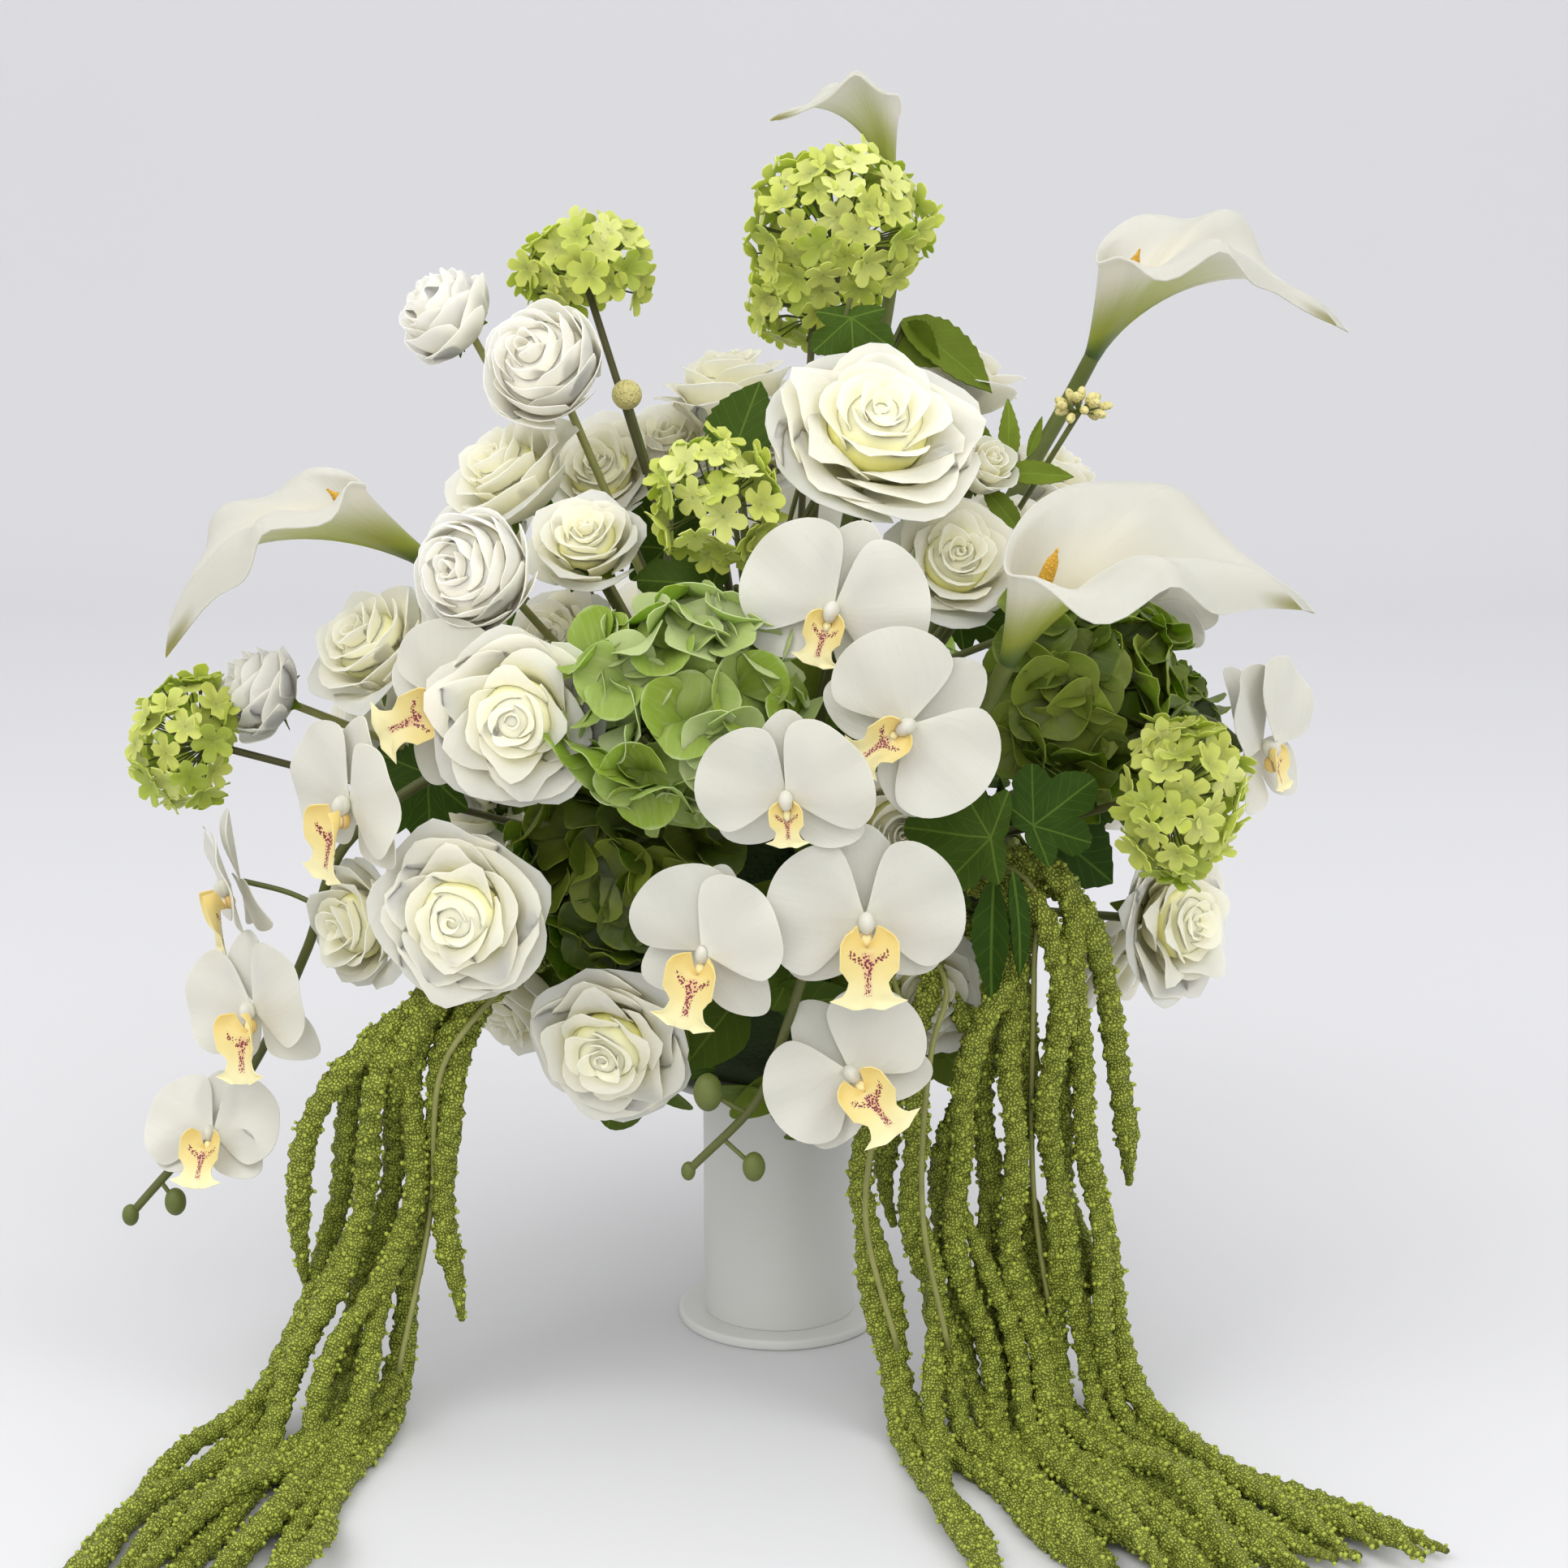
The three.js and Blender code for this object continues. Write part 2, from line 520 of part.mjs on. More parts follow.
function spathe({ at, axis, tip, size }) {
  const z = v3(axis).normalize();
  const x = v3(tip).addScaledVector(z, -v3(tip).dot(z)).normalize();
  const frame = new THREE.Matrix4().makeBasis(x, z.clone().cross(x), z).setPosition(v3(at));
  const ring = (level, inset) =>
    Array.from({ length: SPATHE_TURNS }, (_, k) => spathePoint(level, k, inset, size).applyMatrix4(frame));
  const outer = SPATHE_LEVELS.map((level) => ring(level, 0));
  const inner = SPATHE_LEVELS.slice(1).map((level) => ring(level, SPATHE_THICKNESS));
  const floor = new THREE.Vector3(0, 0, SPATHE_FLOOR * size).applyMatrix4(frame);
  const under = new THREE.Vector3(0, 0, 0).applyMatrix4(frame);
  const triangles = [];
  const wall = (low, high, way) =>
    low.forEach((a, k) => {
      const j = (k + 1) % low.length;
      const quad = [[a, low[j], high[j]], [a, high[j], high[k]]];
      quad.forEach(([p, q, s]) => triangles.push(way > 0 ? [p, q, s] : [p, s, q]));
    });
  for (let i = 0; i + 1 < outer.length; i++) wall(outer[i], outer[i + 1], 1);
  for (let i = 0; i + 1 < inner.length; i++) wall(inner[i], inner[i + 1], -1);
  wall(outer[outer.length - 1], inner[inner.length - 1], 1);
  outer[0].forEach((a, k) => triangles.push([outer[0][(k + 1) % SPATHE_TURNS], a, under]));
  inner[0].forEach((a, k) => triangles.push([a, inner[0][(k + 1) % SPATHE_TURNS], floor]));
  return { solid: closed(triangles), frame };
}

// The yellow spadix stands in the funnel's floor.
function spadix(frame, size) {
  const up = (height, lean) => new THREE.Vector3(lean * size, 0, height * size).applyMatrix4(frame);
  const radiusAt = (t) => size * (2.2 + 1.4 * Math.sin(Math.PI * t));
  return limb([up(SPATHE_FLOOR - 3, 0), up(34, 2), up(60, 4)], radiusAt, 3, { sides: 5 });
}

// A moth orchid bloom on a six-sided column: three sepals behind, then two broad petals and the scooped lip.
const SEPAL = { length: 0.92, width: 0.34, height: -0.1, rise: 0.04 };
const BROAD_PETAL = { length: 1, width: 0.58, height: 0.1, rise: 0.08 };
const LIP = { length: 0.6, width: 0.24, height: 0.3, rise: -0.08 };
const ORCHID_BANDS = [
  { 1: [90, SEPAL], 3: [214, SEPAL], 5: [326, SEPAL] },
  { 0: [14, BROAD_PETAL], 2: [166, BROAD_PETAL], 4: [270, LIP] },
];

function orchid({ at, face, up, r }) {
  const frame = frameOf(at, face, up);
  const half = PETAL_THICKNESS / (2 * r);
  const petalAt = (band, k) => {
    if (!ORCHID_BANDS[band][k]) return null;
    const [turn, { length, width, height, rise }] = ORCHID_BANDS[band][k];
    const angle = THREE.MathUtils.degToRad(turn);
    const point = (along, across, up) =>
      new THREE.Vector3(
        along * Math.cos(angle) - across * Math.sin(angle),
        along * Math.sin(angle) + across * Math.cos(angle),
        up,
      )
        .multiplyScalar(r)
        .applyMatrix4(frame);
    return {
      left: point(length * 0.5, -width, height),
      right: point(length * 0.5, width, height),
      front: point(length * 0.6, 0, height + rise + half),
      back: point(length * 0.6, 0, height + rise - half),
      lipLeft: point(length, -width * 0.6, height),
      lipRight: point(length, width * 0.6, height),
    };
  };
  const rod = { sides: 6, radius: 0.1 * r, heights: [-0.2 * r, -0.02 * r, 0.24 * r], twist: 0 };
  const foot = new THREE.Vector3(0, 0, -0.14 * r).applyMatrix4(frame);
  return { solid: bloomOnRod(frame, rod, petalAt), foot };
}

// A leaf with one or three lobes, from its foot.
function leaf({ at, along, face, length, lobes }) {
  const z = v3(face).normalize();
  const x = v3(along).addScaledVector(z, -v3(along).dot(z)).normalize();
  const frame = new THREE.Matrix4().makeBasis(x, z.clone().cross(x), z).setPosition(v3(at));
  const half =
    lobes > 1
      ? [[0, 0.02], [-0.08, 0.3], [0.22, 0.52], [0.34, 0.28], [0.7, 0.3]]
      : [[0, 0.02], [0.2, 0.2], [0.6, 0.24]];
  const outline = [...half, [1, 0], ...half.slice().reverse().map(([a, b]) => [a, -b])];
  const droop = (a, b) => -0.12 * a * a - 0.1 * Math.abs(b);
  const rim = outline.map(([a, b]) =>
    new THREE.Vector3(a, b, droop(a, b)).multiplyScalar(length).applyMatrix4(frame),
  );
  const middle = (height) => new THREE.Vector3(0.4 * length, 0, height).applyMatrix4(frame);
  return fan(rim, middle(LEAF_THICKNESS), middle(-LEAF_THICKNESS));
}

// The place on the line from the core's middle to somewhere outside, at a height above the core's surface.
function overCore(place, height) {
  return CORE_CENTRE.clone().addScaledVector(v3(place).sub(CORE_CENTRE).normalize(), CORE_RADIUS + height);
}

// The stems from each foot: the first runs straight into the core, and each other one joins it on its way.
function stemsFrom([first, ...others], radius) {
  const trunk = stem([first, overCore(first, -STEM_DEPTH)], radius, 1);
  const arms = others.map((foot, i) => stem([foot, overCore(first, 12 + 10 * i)], radius * 0.9, 1));
  return {
    solid: join([trunk.solid, ...arms.map((a) => a.solid)]),
    room: join([trunk.room, ...arms.map((a) => a.room)]),
  };
}

// What each plant is made of: its blooms or leaves, and the stem that carries them.
const plants = [];
const addPlant = (name, look, crown, carrier) => plants.push({ name, look, crown, carrier });

function addCallas() {
  for (const [name, calla] of Object.entries(CALLAS)) {
    const { solid, frame } = spathe(calla);
    const start = new THREE.Vector3(0, 0, 3).applyMatrix4(frame);
    const bend = new THREE.Vector3(0, 0, -34 * calla.size).applyMatrix4(frame);
    const carrier = stem([start, bend, overCore(bend, -STEM_DEPTH)], 4.2, 2);
    addPlant(name.replace("calla", "spadix"), YELLOW, [spadix(frame, calla.size)], null);
    addPlant(name, WHITE, [solid], carrier);
  }
}

function addOrchids() {
  for (const [name, { stem: route, blooms }] of Object.entries(ORCHID_SPRAYS)) {
    const made = blooms.map(orchid);
    const curve = new THREE.CatmullRomCurve3(route.map(v3), false, "centripetal");
    const steps = route.length + 3;
    const knots = curve.getSpacedPoints(steps);
    const trunk = stem(route, 2.6, steps);
    const arms = made.map(({ foot }) => {
      const nearest = knots.reduce((best, p) => (p.distanceTo(foot) < best.distanceTo(foot) ? p : best));
      return stem([foot, nearest], 1.8, 1);
    });
    const tip = v3(route[route.length - 1]);
    const bud = solidOf(new THREE.OctahedronGeometry(8).translate(tip.x, tip.y, tip.z));
    addPlant(name, WHITE, [...made.map((m) => m.solid), bud], {
      solid: join([trunk.solid, ...arms.map((a) => a.solid)]),
      room: join([trunk.room, ...arms.map((a) => a.room)]),
    });
  }
}

function addCupBlooms() {
  Object.entries(ROSES).forEach(([name, heads], n) => {
    const made = heads.map((head, i) => cupBloom(head, head.full ? ROSE : SMALL_ROSE, n + 0.7 * i));
    const carrier = stemsFrom(made.map((m) => m.foot), 3);
    addPlant(name, WHITE, made.map((m) => m.solid), carrier);
  });
  Object.entries(RANUNCULUS).forEach(([name, head], n) => {
    const made = cupBloom(head, RANUNCULUS_CUP, 2 * n);
    addPlant(name, WHITE, [made.solid], stemsFrom([made.foot], 2.4));
  });
}

function addFloretHeads() {
  Object.entries(VIBURNUMS).forEach(([name, head], n) => {
    const made = headOfFlorets(head, 0.1, n);
    addPlant(name, LIME, [made.solid], stemsFrom([made.foot], 2.4));
  });
  Object.entries(HYDRANGEAS).forEach(([name, head], n) => {
    const made = headOfFlorets(head, 0.16, n + 0.5);
    addPlant(name, head.tone, [made.solid], stemsFrom([made.foot], 3.2));
  });
}

function addLeaves() {
  for (const [name, leaves] of Object.entries(LEAVES)) {
    const feet = leaves.map(({ at, along }) => v3(at).addScaledVector(v3(along).normalize(), 1));
    addPlant(name, DARK_GREEN, leaves.map(leaf), stemsFrom(feet, 1.8));
  }
  const tip = v3(BERRY_SPRAY.tip);
  const berries = Array.from({ length: BERRY_SPRAY.berries }, (_, k) => {
    const turn = k * 2.4;
    const reach = k ? 5 : 0;
    const middle = new THREE.Vector3(reach * Math.cos(turn), reach * Math.sin(turn), 0.6 * k).add(tip);
    return solidOf(new THREE.OctahedronGeometry(k ? 4.5 : 7).translate(...middle.toArray()));
  });
  addPlant("berry_spray", YELLOW, [join(berries)], stemsFrom([tip], 1.8));
}

// The route of one rope of a fall: down from the collar, then out along the table, or to a tip in the air.
function ropeRoute(fall, i, radius) {
  const u = i / (fall.ropes - 1);
  const between = ({ from, to }, shift) => v3(from).lerp(v3(to), u).add(new THREE.Vector3(...shift));
  const jitter = (k, by) => (draw(i * 5 + k) - 0.5) * by;
  const layer = (i % 2 ? 1 : -1) * radius * 1.1;
  const across = (2 * u - 1) * fall.spread[0] * 0.8;
  const top = v3(fall.collar).add(new THREE.Vector3(across, layer * 0.8, jitter(2, 6)));
  const brow = top.clone().lerp(between(fall.waist, [0, 0, 0]), 0.3);
  brow.add(new THREE.Vector3(0, layer - 14, 16));
  const waist = between(fall.waist, [0, layer, 0]);
  const tip = waist.clone().add(new THREE.Vector3(jitter(6, 6), 0, -46));
  if (fall.tips.includes(i)) return [top, brow, waist, tip];
  const flat = radius + ROPE_FLOOR;
  const knee = between(fall.landing, [0, layer, 0]).lerp(waist, 0.42).setZ(40 - layer);
  const landing = between(fall.landing, [0, -26 + layer, flat]);
  const end = between(fall.end, [jitter(7, 8), jitter(8, 46), flat]);
  const run = landing.clone().lerp(end, 0.5).add(new THREE.Vector3(jitter(9, 8), 0, 0));
  return [top, brow, waist, knee, landing, run, end];
}

function addAmaranthus() {
  const lumps = (t, k, i) => {
    const taper = Math.min(1, 0.55 + 3 * t, 0.35 + 6 * (1 - t));
    return ROPE_RADIUS * taper * (i % 2 ? 1 : 0.8) * (k % 2 ? 1 : 0.88);
  };
  for (const [name, fall] of Object.entries(FALLS)) {
    const ropes = [];
    const rooms = [];
    for (let i = 0; i < fall.ropes; i++) {
      const route = ropeRoute(fall, i, ROPE_RADIUS);
      const steps = fall.tips.includes(i) ? 6 : 10;
      ropes.push(limb(route, lumps, steps, { twist: 0.5, floor: ROPE_FLOOR }));
      rooms.push(limb(route, (t, k, j) => lumps(t, k, j) + 2 * GAP, steps, { twist: 0.5, past: 2 * GAP }));
    }
    const collar = new THREE.IcosahedronGeometry(1, 0).scale(...fall.spread).translate(...fall.collar);
    const carrier = stemsFrom([v3(fall.collar)], 5);
    addPlant(name, GREEN, [join([solidOf(collar), ...ropes])], carrier);
    plants[plants.length - 1].rooms = rooms;
  }
}

// Plants in the order in which they keep their room: what comes later is cut back from what came before.
addAmaranthus();
addCallas();
addOrchids();
addLeaves();
addCupBlooms();
addFloretHeads();

const boxesMeet = (a, b) => {
  const [p, q] = [a.boundingBox(), b.boundingBox()];
  return [0, 1, 2].every((i) => p.min[i] < q.max[i] && q.min[i] < p.max[i]);
};

// A solid less the rooms that it reaches into.
function cutBack(solid, rooms) {
  return rooms.reduce((left, room) => (boxesMeet(left, room) ? left.subtract(room) : left), solid);
}

// The largest of a solid's separate pieces.
const largest = (solid) => solid.decompose().reduce((best, one) => (one.volume() > best.volume() ? one : best));

function material(look) {
  return new THREE.MeshStandardMaterial({ metalness: 0, side: THREE.DoubleSide, ...look });
}

function meshOf(name, solid, look) {
  const mesh = solid.getMesh();
  const vertices = new Float32Array(mesh.numVert * 3);
  for (let i = 0; i < mesh.numVert; i++)
    vertices.set(mesh.vertProperties.subarray(i * mesh.numProp, i * mesh.numProp + 3), i * 3);
  const geometry = new THREE.BufferGeometry()
    .setAttribute("position", new THREE.BufferAttribute(vertices, 3))
    .setIndex(new THREE.BufferAttribute(mesh.triVerts, 1));
  geometry.computeVertexNormals();
  const made = new THREE.Mesh(geometry, material(look));
  made.name = name;
  return made;
}

const centerpiece = new THREE.Group();

// Each plant, cut back from all other stems and from the crowns before it.
function plantMeshes() {
  const crownRooms = [];
  const stemRooms = [];
  plants.forEach((plant, n) => {
    const earlierStems = plants.slice(0, n).flatMap((p) => (p.carrier ? [p.carrier.room] : []));
    const otherStems = plants.flatMap((p) => (p.carrier && p !== plant ? [p.carrier.room] : []));
    const crowns = plant.crown.map((crown) => cutBack(crown, [...otherStems, ...crownRooms]));
    const carriers = plant.carrier ? [cutBack(plant.carrier.solid, earlierStems)] : [];
    const whole = largest(join([...carriers, ...crowns]));
    centerpiece.add(meshOf(plant.name, whole, plant.look));
    if (plant.carrier) stemRooms.push(plant.carrier.room);
    crownRooms.push(...(plant.rooms ?? plant.crown.map(roomRound)));
  });
  return { crownRooms, stemRooms };
}

// A ball of foam, flat underneath, with a plain hole for each stem.
function foamCore({ crownRooms, stemRooms }) {
  const ball = new THREE.IcosahedronGeometry(CORE_RADIUS, 1).translate(...CORE_CENTRE.toArray());
  const below = new THREE.BoxGeometry(400, 400, 200).translate(0, 0, PLATE_TOP - 100);
  const flat = solidOf(ball).subtract(solidOf(below));
  return largest(cutBack(flat, [...stemRooms, ...crownRooms]));
}

function disc(radius, low, high, segments) {
  const round = new THREE.CylinderGeometry(radius, radius, high - low, segments);
  return solidOf(round.rotateX(Math.PI / 2).translate(0, 0, (low + high) / 2));
}

centerpiece.add(meshOf("foam_core", foamCore(plantMeshes()), FOAM));
const plateBottom = PLATE_TOP - PLATE_THICKNESS;
centerpiece.add(meshOf("stand_plate", disc(PLATE_RADIUS, plateBottom, PLATE_TOP, 24), STAND_WHITE));
centerpiece.add(meshOf("stand_column", disc(COLUMN_RADIUS, FOOT_HEIGHT, plateBottom, 24), STAND_WHITE));
centerpiece.add(meshOf("stand_foot", disc(FOOT_RADIUS, 0, FOOT_HEIGHT, 24), STAND_WHITE));

export default centerpiece;
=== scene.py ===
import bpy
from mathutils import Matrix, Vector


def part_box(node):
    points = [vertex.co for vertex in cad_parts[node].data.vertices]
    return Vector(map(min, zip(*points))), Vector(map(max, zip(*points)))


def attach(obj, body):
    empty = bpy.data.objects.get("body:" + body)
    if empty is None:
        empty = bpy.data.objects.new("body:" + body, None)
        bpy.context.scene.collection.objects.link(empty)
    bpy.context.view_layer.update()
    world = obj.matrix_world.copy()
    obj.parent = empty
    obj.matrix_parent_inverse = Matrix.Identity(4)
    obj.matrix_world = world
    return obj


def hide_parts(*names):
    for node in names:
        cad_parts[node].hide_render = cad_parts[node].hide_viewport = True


bl_info = {
    "name": "Flower Ball Centerpiece",
    "version": (1, 0, 0),
    "blender": (4, 5, 0),
    "location": "View3D > Sidebar > Centerpiece",
    "description": "Dresses a flower ball with roses, callas, orchids, snowballs, leaves and amaranthus",
    "category": "Add Mesh",
}

import functools
import math

import bpy
import numpy as np

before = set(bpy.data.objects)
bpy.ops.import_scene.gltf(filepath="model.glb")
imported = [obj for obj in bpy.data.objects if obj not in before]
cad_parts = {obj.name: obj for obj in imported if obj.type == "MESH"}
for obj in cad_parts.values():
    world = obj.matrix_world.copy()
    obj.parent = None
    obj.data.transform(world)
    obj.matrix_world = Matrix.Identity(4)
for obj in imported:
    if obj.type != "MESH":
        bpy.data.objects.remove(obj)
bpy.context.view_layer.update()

MM = 0.001
BODY = "root"

# The foam ball that carries every stem, in millimetres.
CORE_RADIUS = 112
CORE_CENTRE = np.array([0.0, 0.0, 243.0])
STEM_DEPTH = 12

# How many small leaves lie on the foam. A ball of leaves or florets is open below a height from 1, its top, to -1.
FILLER_LEAVES = 260
OPEN_BELOW = -0.72

# The photograph's camera: where it stands, how far it looks down, and its lens.
CAMERA_PLACE = (2.58, -1600, 643)
CAMERA_DOWN = 12
PHOTO_WIDTH = 1932
FOCAL_PIXELS = 3735
SENSOR_WIDTH = 36

# The room's light at eye level and overhead. Each lamp has its place and its aim in metres, its width and its power.
ROOM_LIGHT = (0.89, 1.17)
LAMPS = {
    "left": ((-1.3, -1.3, 2.1), (0, 0, 0.35), 1.5, 19),
    "right": ((1.4, -1.2, 2.1), (0, 0, 0.35), 1.5, 15),
    "front": ((0.2, -2.6, 1.6), (0, 0, 0.4), 1.6, 14),
}


def head_at(at, face, r, **more):
    """A bloom's place, the way it looks, its radius, and what else sets it apart."""
    return {"at": at, "face": face, "r": r, **more}


def leaf_at(at, along, face, length, **more):
    """A leaf's foot, the way it points, the way its face looks, its length, and what else sets it apart."""
    return {"at": at, "along": along, "face": face, "length": length, **more}


# Roses. Full ones are wide open.
ROSES = {
    "rose_1": [head_at((49, -110, 506), (0.15, -0.7, 0.75), 50, full=True)],
    "rose_2": [head_at((-124, -190, 374), (-0.15, -1, 0.05), 40, full=True)],
    "rose_3": [head_at((-153, -196, 279), (-0.2, -1, 0), 41, full=True)],
    "rose_4": [head_at((-84, -172, 205), (-0.25, -1, -0.25), 39, full=True)],
    "rose_5": [head_at((206, -104, 254), (0.7, -0.7, 0.15), 39, full=True)],
    "rose_6": [head_at((-208, -84, 394), (-0.6, -0.5, 0.7), 37)],
    "rose_8": [head_at((-95, -112, 450), (-0.1, -0.7, 0.8), 30)],
    "rose_13": [head_at((58, -168, 316), (0.2, -1, 0), 32)],
    "rose_17": [head_at((74, -146, 228), (0.2, -1, 0), 34)],
    "rose_18": [head_at((180, -44, 214), (0.8, -0.4, -0.5), 32)],
    "roses_top_left": [
        head_at((-143, -22, 474), (-0.6, -0.4, 0.8), 38),
        head_at((-60, 44, 482), (-0.1, -0.6, 0.8), 33),
    ],
    "roses_top_back": [
        head_at((-26, 24, 515), (-0.1, 0, 1), 38),
        head_at((96, 34, 520), (0.2, 0.2, 1), 34),
    ],
    "roses_right": [
        head_at((88, -108, 440), (0.1, -0.9, 0.5), 34),
        head_at((104, -72, 482), (0.4, -0.6, 0.6), 18),
        head_at((152, 48, 462), (0.5, 0, 0.8), 33),
    ],
    "roses_left_low": [
        head_at((-212, -130, 258), (-0.8, -0.7, 0), 34),
        head_at((-140, -70, 196), (-0.5, -0.6, -0.6), 32),
    ],
    "roses_back_left": [
        head_at((-172, 92, 424), (-0.6, 0.5, 0.6), 36),
        head_at((-226, 52, 330), (-0.9, 0.4, 0.1), 36),
        head_at((-176, 130, 262), (-0.7, 0.7, -0.1), 34),
    ],
    "roses_back_mid": [
        head_at((-40, 150, 462), (-0.1, 0.6, 0.8), 36),
        head_at((-74, 206, 352), (-0.3, 1, 0.1), 40),
    ],
    "roses_back_right": [
        head_at((92, 138, 446), (0.4, 0.6, 0.7), 36),
        head_at((188, 76, 400), (0.8, 0.4, 0.5), 34),
        head_at((188, 116, 286), (0.8, 0.6, 0), 36),
    ],
    "roses_back_low": [
        head_at((-60, 148, 204), (-0.2, 0.9, -0.4), 34),
        head_at((72, 156, 216), (0.3, 0.9, -0.3), 36),
    ],
}

# Rounder, whiter, fuller heads on longer stems.
RANUNCULUS = {
    "ranunculus_1": head_at((-177, 34, 551), (-0.8, -0.3, 0.6), 27),
    "ranunculus_2": head_at((-121, -36, 530), (-0.35, -0.8, 0.5), 32),
    "ranunculus_3": head_at((-148, -142, 438), (-0.5, -0.9, 0.2), 31),
    "ranunculus_4": head_at((-268, -56, 363), (-0.9, -0.3, 0.4), 25),
}

# Calla lilies: at is where the funnel leaves the stem, axis runs up the funnel, tip is the side of the tongue.
# mouth, wide and long are how far the lip reaches, all round, towards the tongue and at its tip. back is how much
# higher the lip is at the tongue, and drop how far the tip hangs. Each side of the lip has its crest, in degrees
# from the tip, and the height of its waves.
CALLAS = {
    "1": dict(
        at=(60, 66, 622), axis=(-0.18, 0.08, 1), tip=(-1, -0.3, 0.2), size=0.64,
        mouth=14, wide=40, long=41, back=38, drop=26, crests=(50, 50), waves=(5, 7),
    ),
    "2": dict(
        at=(164, 0, 532), axis=(0.42, -0.25, 0.87), tip=(1, -0.05, 0.05), size=0.94,
        mouth=22, wide=40, long=57, back=48, drop=24, crests=(58, 34), waves=(9, 9),
    ),
    "3": dict(
        at=(108, -190, 402), axis=(0.36, -0.43, 0.82), tip=(1, -0.1, 0), size=1.03,
        mouth=22, wide=44, long=46, back=46, drop=14, crests=(48, 42), waves=(9, 2),
    ),
    "4": dict(
        at=(-182, -44, 430), axis=(-0.78, -0.31, 0.55), tip=(-0.8, -0.25, -0.5), size=0.98,
        mouth=15, wide=50, long=46, back=46, drop=6, crests=(40, 56), waves=(8, 8),
    ),
}

# Snowball viburnum heads, round and lime green. squash is how flat they are.
VIBURNUMS = {
    "viburnum_1": head_at((-102, 22, 576), (-0.1, 0.1, 1), 39, squash=0.75),
    "viburnum_2": head_at((31, -6, 599), (0, -0.3, 0.9), 50, squash=0.86),
    "viburnum_3": head_at((-31, -134, 472), (0, -0.8, 0.5), 34, squash=0.9),
    "viburnum_4": head_at((-306, -62, 338), (-0.9, -0.2, 0.1), 38, squash=0.8),
    "viburnum_5": head_at((192, -184, 336), (1, -0.4, 0), 43, squash=0.74),
    "viburnum_6": head_at((20, 118, 556), (0.1, 0.5, 0.9), 40, squash=0.9),
}

# Mophead hydrangeas, broader and flatter. They are dark green unless green says otherwise, and dense is how many
# florets they have for their room.
HYDRANGEAS = {
    "hydrangea_light": head_at((-44, -182, 378), (0, -1, 0.1), 62, green="light", dense=8),
    "hydrangea_front": head_at((-76, -140, 284), (-0.2, -1, -0.1), 60, dense=7),
    "hydrangea_right": head_at((152, -118, 374), (0.6, -0.8, 0.2), 60, green="olive", dense=7),
    "hydrangea_back": head_at((52, 196, 340), (0.3, 1, 0), 60, green="light", dense=5),
    "hydrangea_back_left": head_at((-126, 150, 206), (-0.6, 0.8, -0.2), 46, dense=5),
    "hydrangea_side": head_at((206, 28, 320), (1, 0.1, 0), 50, dense=5),
}
HYDRANGEA_RUFFLES = {"light": 0.05, "olive": 0.1, "dark": 0.1}
HYDRANGEA_SQUASH = 0.6

# Moth orchid sprays: the stem's route from the core outwards, each bloom on it, and the buds at its end. up is the
# way of a bloom's top sepal, lip the size of its lip, and raised how far its side petals are turned up, in degrees.
ORCHID_SPRAYS = {
    "orchid_spray_left": {
        "stem": [
            (-60, -60, 270), (-140, -110, 340), (-215, -120, 300),
            (-240, -112, 240), (-275, -105, 170), (-336, -110, 98),
        ],
        "blooms": [
            head_at((-158, -158, 375), (-0.2, -1, 0.2), 42, up=(0.9, 0, 0.4)),
            head_at((-206, -170, 330), (-0.8, -0.7, 0), 44, up=(0.2, 0, 1)),
            head_at((-276, -112, 275), (-0.9, -0.3, -0.2), 40, up=(-0.3, 0, 1)),
            head_at((-262, -140, 218), (-0.6, -0.9, 0.1), 42, up=(-0.2, 0, 1)),
            head_at((-290, -116, 144), (-0.2, -0.8, 0.5), 36, up=(0.1, 0.5, 1)),
        ],
        "buds": [(-336, -110, 98, 5.5), (-312, -112, 106, 7)],
    },
    "orchid_spray_middle": {
        "stem": [
            (16, -62, 318), (30, -150, 400), (44, -196, 372), (24, -212, 300),
            (4, -210, 230), (-10, -200, 190), (-44, -196, 152),
        ],
        "blooms": [
            head_at((26, -196, 428), (-0.2, -1, 0.1), 46, up=(0.28, 0, 1), lip=0.68, raised=4),
            head_at((60, -222, 378), (-0.1, -1, 0.1), 46, up=(0.82, 0, 0.57), lip=0.72),
            head_at((4, -246, 350), (-0.1, -1, -0.1), 42, up=(-0.06, 0, 1), lip=0.62, raised=12),
            head_at((40, -238, 290), (0.1, -1, 0), 46, up=(0, 0, 1)),
            head_at((-33, -232, 273), (-0.35, -1, 0.1), 42, up=(0.2, 0, 1), raised=34),
            head_at((34, -220, 210), (0, -0.95, 0.2), 42, up=(-0.6, 0, 0.8)),
        ],
        "buds": [(-34, -202, 194, 9), (-12, -204, 157, 7), (-44, -196, 152, 4.5)],
    },
    "orchid_spray_right": {
        "stem": [(78, -20, 296), (170, -50, 350), (226, -40, 345), (240, -48, 335)],
        "blooms": [
            head_at((248, -66, 336), (0.8, -0.5, 0.2), 46, up=(-0.1, 0, 1), lip=0.6, raised=40),
            head_at((200, 8, 402), (0.5, 0.6, 0.4), 38, up=(0.2, 0, 1), lip=0.7),
        ],
        "buds": [(240, -48, 335, 5)],
    },
    "orchid_spray_back": {
        "stem": [(-8, 74, 300), (-10, 190, 420), (0, 236, 380), (-10, 246, 280), (-16, 236, 200)],
        "blooms": [
            head_at((8, 226, 420), (0.1, 1, 0.2), 42, up=(0, 0, 1)),
            head_at((-24, 256, 300), (-0.1, 1, 0), 42, up=(0.1, 0, 1)),
            head_at((0, 246, 224), (0.1, 1, -0.1), 40, up=(-0.1, 0, 1)),
        ],
        "buds": [(-16, 236, 200, 8)],
    },
}

